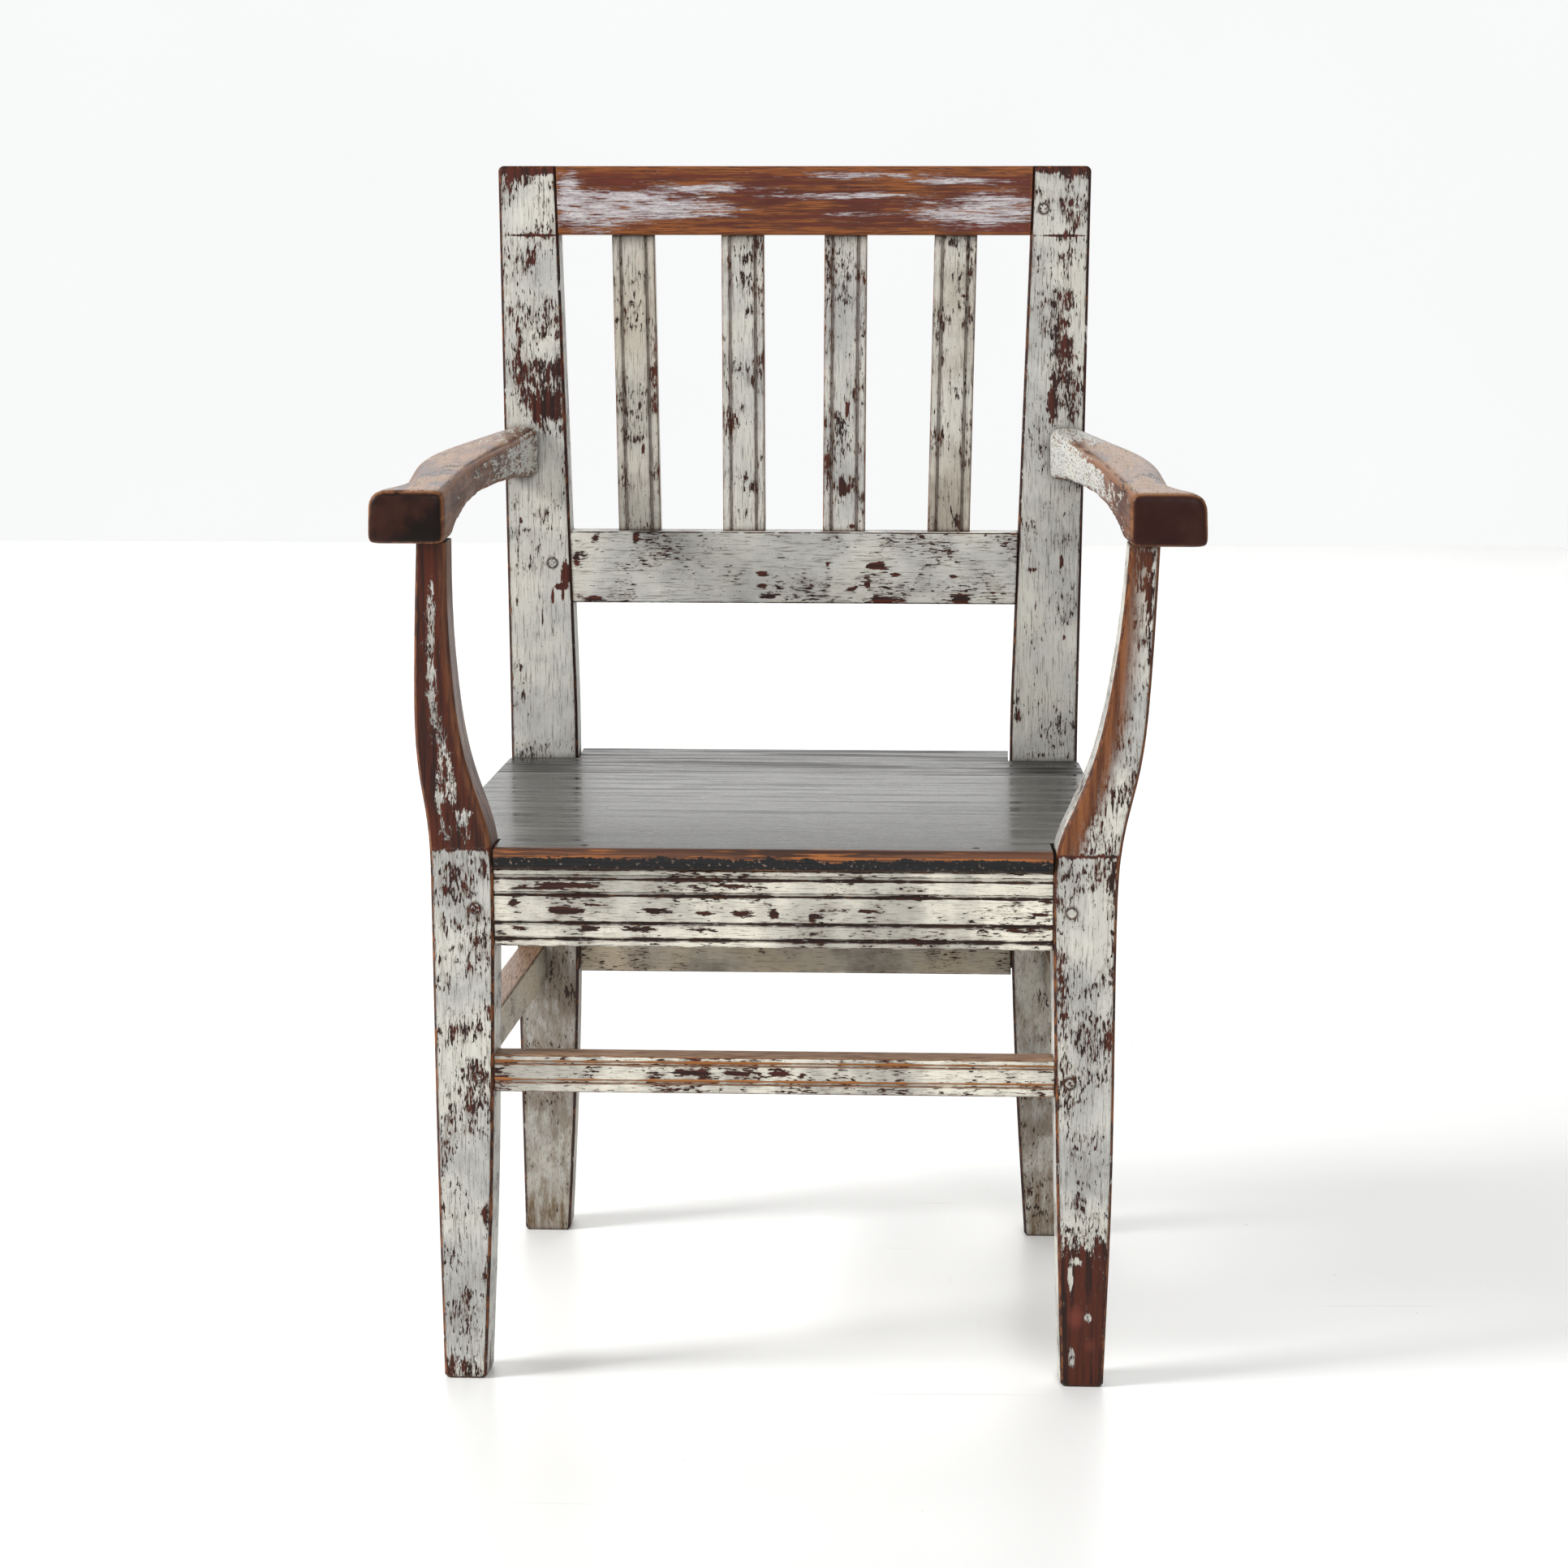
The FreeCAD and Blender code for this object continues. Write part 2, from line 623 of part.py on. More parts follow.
# Front legs with their curved arm posts
def front_leg(side):
    sign = sides[side]
    body = new_body(f"front_leg_{side}")
    heights = [post_start] + post_levels + [post_top]
    outs = [leg_out] + [leg_out + out for out in post_outs]
    outer = [
        (foot_out * sign - foot_sway, worn_sole),
        ((foot_out + leg_out) / 2 * sign - foot_sway / 2, ankle_height / 2),
        (leg_out * sign, ankle_height),
        (leg_out * sign, (ankle_height + post_start) / 2),
    ]
    outer += [(out * sign + post_sway(high), high) for out, high in zip(outs, heights)]
    inner = [
        (foot_in * sign - foot_sway, worn_sole),
        ((foot_in + ankle_in) / 2 * sign - foot_sway / 2, ankle_height / 2),
        (ankle_in * sign, ankle_height),
        ((ankle_in + knee_in) / 2 * sign, (ankle_height + knee_height) / 2),
        (knee_in * sign, knee_height),
        (leg_in * sign, (knee_height + seat_height + post_start) / 3),
        (leg_in * sign, post_levels[0]),
    ]
    ins = [leg_in + place for place in post_ins]
    inner += [(place * sign + post_sway(high), high) for place, high in zip(ins, heights[2:])]
    inner.reverse()
    sole = (
        ((foot_in + worn_sole) * sign - foot_sway, zero),
        ((foot_out - worn_sole) * sign - foot_sway, zero),
    )
    runs = [
        straight(inner[-1], *sole, outer[0]),
        curve(*outer),
        straight(outer[-1], inner[0]),
        curve(*inner),
    ]
    stock = pad(body, "XZ_Plane", runs, leg_depth)
    stock.UseCustomVector = True
    stock.AlongSketchNormal = True
    stock.Direction = FreeCAD.Vector(-side_slope.value * sign, 1, 0)
    stock.setExpression("Direction.x", (-side_slope * sign).formula)
    doc.recompute()
    profile = straight(
        (worn_heel, zero),
        (leg_depth - worn_heel, zero),
        (leg_depth, worn_heel),
        (leg_depth, post_start),
        (leg_depth - post_back_set_in, post_top),
        (post_front_set_back, post_top),
        (zero, seat_height - post_arris_drop),
        (zero, worn_heel),
        (worn_heel, zero),
    )
    trim(body, "side", "YZ_Plane", [profile])

    def long_edge(edge):
        return along(edge, "z") > along(edge, "y") + tenon_gap.value

    soften(body, "worn", worn_edge, long_edge, "Chamfer")
    centre = post_centre(sign)
    half = post_tenon_width / 2
    middle = leg_depth / 2
    tenon_y = (middle - tenon_thickness / 2, middle + tenon_thickness / 2)
    top = (post_top - tenon_gap, post_top + post_tenon_height)
    box(body, "Additive", "tenon", (centre - half, centre + half), tenon_y, top)
    rail_span = ordered(leg_in_back * sign, (leg_in + tenon_length) * sign)
    rail_z = (rail_low + rail_shoulder, seat_under - rail_shoulder)
    box(body, "Subtractive", "rail_mortise", rail_span, rail_tenon_y, rail_z, tenon_gap)
    bar_z = (
        front_stretcher_low + stretcher_shoulder,
        front_stretcher_high - stretcher_shoulder,
    )
    box(body, "Subtractive", "bar_mortise", rail_span, bar_tenon_y, bar_z, tenon_gap)
    mid_x = (side_out_at(leg_depth) - side_rail_width / 2) * sign
    side_x = (mid_x - tenon_thickness / 2, mid_x + tenon_thickness / 2)
    side_y = (leg_depth - side_tenon_length, leg_depth + tenon_gap)
    box(body, "Subtractive", "side_mortise", side_x, side_y, rail_z, tenon_gap)
    low_z = (
        side_stretcher_low + stretcher_shoulder,
        side_stretcher_high - stretcher_shoulder,
    )
    box(body, "Subtractive", "low_mortise", side_x, side_y, low_z, tenon_gap)
    for name, height in (("high", rail_peg_height), ("low", stretcher_peg_height)):
        place = (leg_peg_x * sign, -peg_proud, height)
        hole = peg_radius + peg_gap
        bore(body, f"{name}_hole", *place, hole, peg_length + peg_gap, into_y)
    return body


rail_tenon_y = (
    rail_set_back + tenon_cheek,
    rail_set_back + tenon_cheek + tenon_thickness,
)
bar_tenon_y = (
    rail_set_back + stretcher_shoulder,
    rail_set_back + front_stretcher_thickness - stretcher_shoulder,
)
for side in sides:
    front_leg(side)


# Back posts, raked above the seat and kicked back below it
def back_stile(side):
    sign = sides[side]
    body = new_body(f"back_stile_{side}", y=back_depth)
    top_z = seat_height + stile_length * rise
    bend_z = seat_height + stile_bend * rise
    outer = [
        (stile_out_foot * sign, worn_sole),
        (stile_out_foot * sign, stile_shin_height),
        (stile_out_seat * sign, seat_height),
        (stile_out_up(stile_bend) * sign, bend_z),
    ]
    inner = [
        (stile_in_up(stile_bend) * sign, bend_z),
        (stile_in_seat * sign, seat_height),
        (stile_in_shin * sign, stile_shin_height),
        (stile_in_calf * sign, stile_calf_height),
        (stile_in_foot * sign, worn_sole),
    ]
    sole = (
        ((stile_in_foot + worn_sole) * sign, zero),
        ((stile_out_foot - worn_sole) * sign, zero),
    )
    runs = [
        straight(inner[-1], *sole, outer[0]),
        curve(*outer),
        straight(
            outer[-1], (stile_out_top * sign, top_z), (stile_in_top * sign, top_z), inner[0]
        ),
        curve(*inner),
    ]
    deep = stile_length * run + stile_thickness + back_kick
    pad(body, "XZ_Plane", runs, deep, backward=True)
    slope = back_kick / seat_height
    seat_back = raked(stile_thickness, zero)
    seat_back = (seat_back[0] - back_depth, seat_back[1])
    upper = []
    for inward, up in (
        (stile_thickness, stile_knuckle),
        (stile_thickness, stile_length),
        (zero, stile_length),
        (zero, stile_knuckle),
    ):
        depth, height = raked(inward, up)
        upper.append((depth - back_depth, height))
    back_slope = (back_kick + stile_thickness - seat_back[0]) / seat_back[1]
    low_back = (seat_back[0] + back_slope * stile_knuckle, seat_back[1] - stile_knuckle)
    low_front = (slope * stile_knuckle, seat_height - stile_knuckle)
    profile = [
        straight((back_kick, zero), (back_kick + stile_thickness, zero), low_back),
        curve(low_back, seat_back, upper[0]),
        straight(*upper),
        curve(upper[-1], (zero, seat_height), low_front),
        straight(low_front, (back_kick, zero)),
    ]
    trim(body, "side", "YZ_Plane", profile)
    high = top_z.value - stile_thickness.value

    def top_corner(edge):
        middle = edge.CenterOfMass
        outside = abs(middle.x) > stile_out_seat.value
        return middle.z > high and outside and along(edge, "y") > along(edge, "z") * 2

    soften(body, "corner", worn_corner, top_corner)

    def worn_line(edge):
        on_top = edge.CenterOfMass.z > high and along(edge, "y") < worn_edge.value
        return along(edge, "z") > stile_thickness.value * 2 or on_top

    soften(body, "worn", worn_edge, worn_line, "Chamfer")
    tenon_x = ordered(stile_in_seat * sign, (stile_in_shin + tenon_length) * sign)
    rear_y = (rear_rail_front, rear_rail_front + rear_rail_thickness)
    rail_y = (
        rear_y[0] + stretcher_shoulder - back_depth,
        rear_y[1] - stretcher_shoulder - back_depth,
    )
    rail_z = (rail_low + rail_shoulder, seat_under - rail_shoulder)
    box(body, "Subtractive", "rail_mortise", tenon_x, rail_y, rail_z, tenon_gap)
    bar_y = (
        rear_bar_front + stretcher_shoulder - back_depth,
        rear_bar_front + rear_stretcher_thickness - stretcher_shoulder - back_depth,
    )
    bar_z = (
        rear_stretcher_low + stretcher_shoulder,
        rear_stretcher_high - stretcher_shoulder,
    )
    box(body, "Subtractive", "bar_mortise", tenon_x, bar_y, bar_z, tenon_gap)
    mid_x = (side_out_at(stile_front_at(rail_low)) - side_rail_width / 2) * sign
    side_x = (mid_x - tenon_thickness / 2, mid_x + tenon_thickness / 2)
    side_y = (zero, side_tenon_end(rail_low) - back_depth)
    box(body, "Subtractive", "side_mortise", side_x, side_y, rail_z, tenon_gap)
    low_z = (
        side_stretcher_low + stretcher_shoulder,
        side_stretcher_high - stretcher_shoulder,
    )
    low_y = (zero, side_tenon_end(side_stretcher_low) - back_depth)
    box(body, "Subtractive", "low_mortise", side_x, low_y, low_z, tenon_gap)
    arm_x = arm_tenon_x(sign)
    arm_y = (zero, arm_tenon_end - back_depth)
    box(body, "Subtractive", "arm_mortise", arm_x, arm_y, arm_tenon_z, tenon_gap)
    raked_mortise(body, "top_mortise", sign, top_tenon_up)
    raked_mortise(body, "lower_mortise", sign, lower_tenon_up)
    return body


rear_rail_front = stile_front_at(rail_low) + rear_bar_set_back
rear_bar_front = stile_front_at(rear_stretcher_low) + rear_bar_set_back
top_tenon_up = (top_rail_low + rail_shoulder, stile_length - rail_shoulder)
lower_tenon_up = (lower_rail_low + rail_shoulder, lower_rail_high - rail_shoulder)
back_tenon_in = (tenon_cheek, tenon_cheek + tenon_thickness)
arm_tenon_end = arm_end_at(arm_height) + side_tenon_length
arm_tenon_z = (
    arm_height - arm_thickness / 2 - arm_tenon_height / 2,
    arm_height - arm_thickness / 2 + arm_tenon_height / 2,
)


def arm_tenon_x(sign):
    centre = (arm_back_out + arm_back_in) * sign / 2
    return centre - arm_tenon_width / 2, centre + arm_tenon_width / 2


def raked_mortise(body, name, sign, up):
    """A mortise in a back post's inner face, square to the rake."""
    low_x, high_x = ordered(stile_in_seat * sign, (stile_in_up(up[1]) + tenon_length) * sign)
    depth, height = raked(back_tenon_in[0] - tenon_gap, up[0] - tenon_gap)
    feature = body.newObject("PartDesign::SubtractiveBox", f"{body.Name}_{name}")
    turn_about_x(feature, -back_lean)
    feature.setExpression("Length", (high_x - low_x + tenon_gap * 2).formula)
    feature.setExpression("Width", (tenon_thickness + tenon_gap * 2).formula)
    feature.setExpression("Height", (up[1] - up[0] + tenon_gap * 2).formula)
    bind_base(feature, low_x - tenon_gap, depth - back_depth, height)
    doc.recompute()


lower_peg_up = lower_rail_low + lower_rail_width * lower_rail_peg_share
top_peg_up = top_rail_low + top_rail_width * top_rail_peg_share
back_peg_places = {
    "left": (-stile_in_up(lower_peg_up) - lower_rail_peg_inset, lower_peg_up),
    "right": (stile_in_up(top_peg_up) + back_peg_inset, top_peg_up),
}
for side in sides:
    stile = back_stile(side)
    peg_x, peg_up = back_peg_places[side]
    depth, height = raked(-peg_proud, peg_up)
    hole = peg_radius + peg_gap
    place = (peg_x, depth - back_depth, height)
    bore(stile, "peg_hole", *place, hole, peg_length + peg_gap, into_rake)


# Rails between the back posts
def back_rail(name, low, high, tenon_up, peg_side):
    body = new_body(name, y=back_depth, z=seat_height, tilt=back_lean)
    low_x = stile_in_up(low)
    high_x = stile_in_up(high)
    runs = straight((-low_x, low), (low_x, low), (high_x, high), (-high_x, high), (-low_x, low))
    pad(body, "XZ_Plane", [runs], back_rail_thickness, backward=True)

    def long_edge(edge):
        front = edge.CenterOfMass.y < back_rail_thickness.value / 2
        return along(edge, "x") > tenon_length.value * 2 and (front or low is top_rail_low)

    soften(body, "worn", worn_rail_edge, long_edge)
    reach = low_x + tenon_length - tenon_gap
    box(body, "Additive", "tenon", (-reach, reach), back_tenon_in, tenon_up)
    hole = peg_radius + peg_gap
    peg_x, peg_up = back_peg_places[peg_side]
    place = (peg_x, -peg_proud, peg_up)
    bore(body, "peg_hole", *place, hole, peg_length + peg_gap, into_y)
    return body


top_rail = back_rail("top_rail", top_rail_low, stile_length, top_tenon_up, "right")
lower_rail = back_rail(
    "lower_back_rail", lower_rail_low, lower_rail_high, lower_tenon_up, "left"
)

# Four moulded slats, with stub tenons in both rails
slat_lows = []
slat_highs = []
for sign, low_share, high_share in (
    (-1, slat_outer_low_share, slat_outer_high_share),
    (-1, slat_inner_low_share, slat_inner_high_share),
    (1, slat_inner_low_share, slat_inner_high_share),
    (1, slat_outer_low_share, slat_outer_high_share),
):
    slat_lows.append(stile_in_up(lower_rail_high) * low_share * sign)
    slat_highs.append(stile_in_up(top_rail_low) * high_share * sign)
tenon_half = slat_width * slat_tenon_share / 2
tongue_in = (slat_thickness - slat_tenon_thickness) / 2
for number, (low_x, high_x) in enumerate(zip(slat_lows, slat_highs), 1):
    in_y, in_z = raked(slat_set_back, zero)
    body = new_body(f"slat_{number}", y=in_y, z=in_z, tilt=back_lean)
    half = slat_width / 2
    runs = straight(
        (low_x - half, lower_rail_high),
        (low_x + half, lower_rail_high),
        (high_x + half, top_rail_low),
        (high_x - half, top_rail_low),
        (low_x - half, lower_rail_high),
    )
    pad(body, "XZ_Plane", [runs], slat_thickness, backward=True)

    def front_edge(edge):
        return along(edge, "z") > slat_width.value and edge.CenterOfMass.y < tongue_in.value

    soften(body, "worn", worn_slat_edge, front_edge)
    grooves = []
    for sign in (-1, 1):
        outer = (half - slat_bead_width) * sign
        inner = (half - slat_bead_width - slat_groove_width) * sign
        groove = straight(
            (low_x + outer, lower_rail_high),
            (low_x + inner, lower_rail_high),
            (high_x + inner, top_rail_low),
            (high_x + outer, top_rail_low),
            (low_x + outer, lower_rail_high),
        )
        grooves.append([groove])
    pocket(body, "beads", "XZ_Plane", grooves, slat_groove_depth, backward=False)
    tongue_y = (tongue_in, tongue_in + slat_tenon_thickness)
    rail_y = (slat_set_back + tongue_y[0], slat_set_back + tongue_y[1])
    for rail, place, level, way in (
        (lower_rail, low_x, lower_rail_high, -1),
        (top_rail, high_x, top_rail_low, 1),
    ):
        tongue_x = (place - tenon_half, place + tenon_half)
        tip = ordered(level - tenon_gap * way, level + slat_tenon_length * way)
        box(body, "Additive", f"{rail.Name}_tongue", tongue_x, tongue_y, tip)
        name = f"slat_{number}_mortise"
        box(rail, "Subtractive", name, tongue_x, rail_y, tip, tenon_gap)


# Reeded front rail and front stretcher
def reeded_bar(name, low, high, thickness, half, shares, shoulder, tenon_y, peg_height):
    body = new_body(name, y=rail_set_back, z=low)
    front = half - side_slope * rail_set_back
    rear = front - side_slope * thickness
    runs = straight(
        (-front, zero), (front, zero), (rear, thickness), (-rear, thickness), (-front, zero)
    )
    tall = high - low
    pad(body, "XY_Plane", [runs], tall)
    before = body.Shape.Volume
    cut = body.newObject("PartDesign::Pocket", f"{name}_reeds")
    sketch = new_sketch(body, f"{name}_reed_lines", "YZ_Plane", [])
    for share in shares:
        height = tall * share
        centre = FreeCAD.Vector(0, height.value, 0)
        normal = FreeCAD.Vector(0, 0, 1)
        circle = Part.Circle(centre, normal, reed_radius.value)
        geometry = sketch.addGeometry(circle, False)
        pin(sketch, geometry, 3, (zero, height))
        held = Sketcher.Constraint("Radius", geometry, reed_radius.value)
        number = sketch.addConstraint(held)
        sketch.setExpression(f"Constraints[{number}]", reed_radius.formula)
    doc.recompute()
    cut.Profile = sketch
    cut.Type = "ThroughAll"
    cut.SideType = "Symmetric"
    doc.recompute()
    if body.Shape.Volume >= before:
        raise SystemExit(f"{name} has no reeds")

    def front_corner(edge):
        middle = edge.CenterOfMass
        near = min(abs(middle.z), abs(middle.z - tall.value)) < tenon_gap.value
        return along(edge, "x") > tenon_length.value and middle.y < reed_radius.value and near

    soften(body, "worn", worn_rail_edge, front_corner)
    reach = half + tenon_length - tenon_gap
    own_y = (tenon_y[0] - rail_set_back, tenon_y[1] - rail_set_back)
    box(body, "Additive", "tenon", (-reach, reach), own_y, (shoulder, tall - shoulder))
    for side, sign in sides.items():
        place = (leg_peg_x * sign, -rail_set_back - peg_proud, peg_height - low)
        hole = peg_radius + peg_gap
        bore(body, f"{side}_hole", *place, hole, peg_length + peg_gap, into_y)
    return body


front_rail = reeded_bar(
    "front_seat_rail",
    rail_low,
    seat_under,
    rail_thickness,
    leg_in,
    reed_shares,
    rail_shoulder,
    rail_tenon_y,
    rail_peg_height,
)
stretcher_drop = (knee_height - front_stretcher_high) / (knee_height - ankle_height)
stretcher_half = knee_in + (ankle_in - knee_in) * stretcher_drop
reeded_bar(
    "front_stretcher",
    front_stretcher_low,
    front_stretcher_high,
    front_stretcher_thickness,
    stretcher_half,
    stretcher_reed_shares,
    stretcher_shoulder,
    bar_tenon_y,
    stretcher_peg_height,
)


# Plain side rails and side stretchers, splayed in plan
def side_bar(name, side, low, high, shoulder):
    sign = sides[side]
    body = new_body(f"{name}_{side}")
    end_low = stile_front_at(low)
    end_high = stile_front_at(high)
    front_out = side_out_at(leg_depth)
    back_out = side_out_at(end_low)
    runs = straight(
        (front_out * sign, leg_depth),
        (back_out * sign, end_low),
        ((back_out - side_rail_width) * sign, end_low),
        ((front_out - side_rail_width) * sign, leg_depth),
        (front_out * sign, leg_depth),
    )
    flat = pad(body, "XY_Plane", [runs], high - low)
    flat.Profile[0].setExpression("AttachmentOffset.Base.z", low.formula)
    doc.recompute()
    profile = straight(
        (leg_depth, low), (end_low, low), (end_high, high), (leg_depth, high), (leg_depth, low)
    )
    trim(body, "side", "YZ_Plane", [profile])

    def long_edge(edge):
        return along(edge, "y") > side_rail_width.value * 2

    soften(body, "worn", worn_edge, long_edge)
    mid_front = (front_out - side_rail_width / 2) * sign
    mid_back = (side_out_at(stile_front_at(rail_low)) - side_rail_width / 2) * sign
    half = tenon_thickness / 2
    z = (low + shoulder, high - shoulder)
    tip = leg_depth - side_tenon_length + tenon_gap
    root = leg_depth + tenon_cheek
    box(body, "Additive", "front_tenon", (mid_front - half, mid_front + half), (tip, root), z)
    back_tip = side_tenon_end(low) - tenon_gap
    back_root = end_high - tenon_cheek
    back_x = (mid_back - half, mid_back + half)
    box(body, "Additive", "back_tenon", back_x, (back_root, back_tip), z)
    return body


for side in sides:
    side_bar("side_seat_rail", side, rail_low, seat_under, rail_shoulder)
    side_bar(
        "side_stretcher", side, side_stretcher_low, side_stretcher_high, stretcher_shoulder
    )


# Plain rear rail and rear stretcher between the back posts
def rear_bar(name, front, low, high, thickness, shoulder):
    body = new_body(name, y=front)
    low_x = stile_in_at(low)
    high_x = stile_in_at(high)
    runs = straight((-low_x, low), (low_x, low), (high_x, high), (-high_x, high), (-low_x, low))
    pad(body, "XZ_Plane", [runs], thickness, backward=True)

    def long_edge(edge):
        return along(edge, "x") > tenon_length.value * 2

    soften(body, "worn", worn_edge, long_edge)
    reach = stile_in_shin + tenon_length - tenon_gap
    tenon_y = (stretcher_shoulder, thickness - stretcher_shoulder)
    box(body, "Additive", "tenon", (-reach, reach), tenon_y, (low + shoulder, high - shoulder))
    return body


rear_bar(
    "back_seat_rail", rear_rail_front, rail_low, seat_under, rear_rail_thickness, rail_shoulder
)
rear_bar(
    "rear_stretcher",
    rear_bar_front,
    rear_stretcher_low,
    rear_stretcher_high,
    rear_stretcher_thickness,
    stretcher_shoulder,
)


# Two seat boards, notched round the legs and the back posts
def seat_board(name, right_half):
    """A board from its right half's outline, mirrored across the chair."""
    body = new_body(name, z=seat_under)
    left_half = [(-x, y) for x, y in reversed(right_half)]
    corners = right_half + left_half
    runs = straight(*corners, corners[0])
    pad(body, "XY_Plane", [runs], seat_thickness)
    return body


leg_notch = leg_in - tenon_gap
behind_leg = leg_depth + tenon_gap
seat_side_front = leg_out + seat_lip_front
seat_side_back = stile_out_seat + seat_lip_back
seat_joint = back_depth * seat_joint_share
slope = (seat_side_front - seat_side_back) / (back_depth - leg_depth)
side_at_joint = seat_side_front - slope * (seat_joint - leg_depth)
front_board = seat_board(
    "seat_front_board",
    [
        (leg_notch, -seat_nose),
        (leg_notch - side_slope * behind_leg, behind_leg),
        (seat_side_front, behind_leg),
        (side_at_joint, seat_joint),
    ],
)
stile_notch = stile_in_seat - tenon_gap
before_stile = back_depth - tenon_gap
rear_board = seat_board(
    "seat_rear_board",
    [
        (side_at_joint, seat_joint + seat_joint_gap),
        (seat_side_back, before_stile),
        (stile_notch, before_stile),
        (stile_notch, back_depth + seat_tail),
    ],
)


def nose_edge(edge):
    middle = edge.CenterOfMass
    return middle.y < 0 and along(edge, "x") > leg_depth.value


def side_edge(edge):
    notch = leg_notch if edge.CenterOfMass.y < seat_joint.value else stile_notch
    outer = abs(edge.CenterOfMass.x) > notch.value + seat_thickness.value
    return outer and along(edge, "y") > seat_thickness.value * 2


def rear_corner(edge):
    middle = edge.CenterOfMass
    return along(edge, "z") > seat_thickness.value / 2 and (
        abs(abs(middle.x) - seat_side_back.value) < tenon_gap.value
    )


soften(front_board, "nose", worn_nose, nose_edge)
soften(front_board, "sides", worn_seat_edge, side_edge)
soften(rear_board, "corners", worn_corner, rear_corner)
soften(rear_board, "sides", worn_seat_edge, side_edge)
seat_nail_places = [
    (-leg_in * seat_nail_left_share, seat_nail_depth, seat_height),
    (leg_in * seat_nail_right_share, seat_nail_depth, seat_height),
]
for number, (x, y, z) in enumerate(seat_nail_places):
    place = (x, y, seat_thickness)
    head = (nail_radius + peg_gap, nail_head + peg_gap)
    bore(front_board, f"head_{number}", *place, *head, down)
    shank = (nail_shank_radius + peg_gap, nail_length)
    bore(front_board, f"shank_{number}", *place, *shank, down)
    place = (x, y - rail_set_back, z - rail_low)
    bore(front_rail, f"nail_{number}", *place, *shank, down)


# Arms, sawn to a curve in plan and hollowed below, then rounded for the hand
def arm(side):
    sign = sides[side]
    body = new_body(f"arm_{side}", z=post_top)
    arm_back_station = arm_end_at(arm_height) + tenon_cheek
    plan = [
        (leg_out + arm_tip_out, -arm_overhang, None),
        (leg_out + arm_waist_out, back_depth * arm_waist_share, arm_waist_sweep),
        (leg_out + arm_elbow_out, back_depth * arm_elbow_share, arm_elbow_sweep),
        (arm_back_out, arm_back_station, None),
        (arm_back_in, arm_back_station, None),
        (stile_out_seat - arm_neck_draw, back_depth * arm_neck_share, arm_neck_sweep),
        (leg_out - arm_bend_draw, back_depth * arm_bend_share, arm_bend_sweep),
        (leg_out - arm_tip_draw, -arm_overhang, None),
    ]
    corners = []
    for place, depth, radius in plan:
        sway = plan_sway(depth) if depth.value < sway_end.value else zero
        corners.append((place * sign + sway, depth, radius))
    stock = body.newObject("PartDesign::Pad", f"{body.Name}_pad")
    stock.Profile = new_sketch(body, f"{body.Name}_outline", "XY_Plane", [])
    draw_rounded(stock.Profile[0], corners)
    stock.setExpression("Length", arm_thickness.formula)
    doc.recompute()
    end_low = arm_end_at(post_top)
    end_high = arm_end_at(arm_height)
    arch = [
        (back_depth * arch_start_share, zero),
        (back_depth * arch_near_share, arm_arch_rise),
        (back_depth * arch_far_share, arm_arch_rise),
        (back_depth * arch_end_share, zero),
    ]
    profile = [
        straight(
            (-arm_overhang + arm_end_slope, arm_thickness),
            (-arm_overhang, zero),
            arch[0],
        ),
        curve(*arch),
        straight(
            arch[-1],
            (end_low, zero),
            (end_high, arm_thickness),
            (-arm_overhang + arm_end_slope, arm_thickness),
        ),
    ]
    trim(body, "side", "YZ_Plane", profile)

    def side_at(depth, side_corners):
        """Distance of one side's plain outline from the chair's middle, at a depth."""
        for near, far in zip(side_corners, side_corners[1:]):
            if depth <= far[1].value:
                break
        share = (depth - near[1].value) / (far[1].value - near[1].value)
        return abs(near[0].value + (far[0].value - near[0].value) * share)

    def long_and(edge, top, outside):
        middle = edge.CenterOfMass
        if along(edge, "y") < leg_depth.value:
            return False
        is_top = middle.z > arm_thickness.value * 3 / 4
        outer = side_at(middle.y, corners[:4])
        inner = side_at(middle.y, corners[:3:-1])
        is_outside = abs(middle.x) > (outer + inner) / 2
        return is_top == top and is_outside == outside

    soften(body, "top_outer", arm_outer_round, lambda edge: long_and(edge, True, True))
    soften(body, "top_inner", arm_inner_round, lambda edge: long_and(edge, True, False))

    def end_edge(edge):
        middle = edge.CenterOfMass
        at_end = middle.y < -arm_overhang.value + arm_end_slope.value + tenon_gap.value
        return at_end

    soften(body, "end", arm_end_round, end_edge)
    centre = post_centre(sign)
    half = post_tenon_width / 2
    middle = leg_depth / 2
    socket_y = (middle - tenon_thickness / 2, middle + tenon_thickness / 2)
    socket_z = (-tenon_gap, post_tenon_height)
    socket_x = (centre - half, centre + half)
    box(body, "Subtractive", "socket", socket_x, socket_y, socket_z, tenon_gap)
    tenon_y = (end_low - tenon_cheek, arm_tenon_end - tenon_gap)
    tenon_z = (arm_tenon_z[0] - post_top, arm_tenon_z[1] - post_top)
    box(body, "Additive", "tenon", arm_tenon_x(sign), tenon_y, tenon_z)
    return body


for side in sides:
    arm(side)


# Whittled pegs and forged nails, each kind one node of separate solids
peg_facets = 8
nail_facets = 4


def pin_group(name, members):
    group = doc.addObject("Part::Compound", name)
    group.Label = name
    group.Links = members
    bind_base(group, shift_x, shift_y, zero)
    pieces.append(group)
    doc.recompute()
    return group


def whittled(name, count, radius, length, turn):
    """A straight stick of so many equal facets, inside a circle of that radius."""
    stick = doc.addObject("Part::Prism", name)
    stick.Polygon = count
    turn_about_x(stick, turn)
    stick.setExpression("Circumradius", radius.formula)
    stick.setExpression("Height", length.formula)
    return stick


def peg(name, x, y, z, turn):
    stick = whittled(name, peg_facets, peg_radius, peg_length, turn)
    bind_base(stick, x, y, z)
    return stick


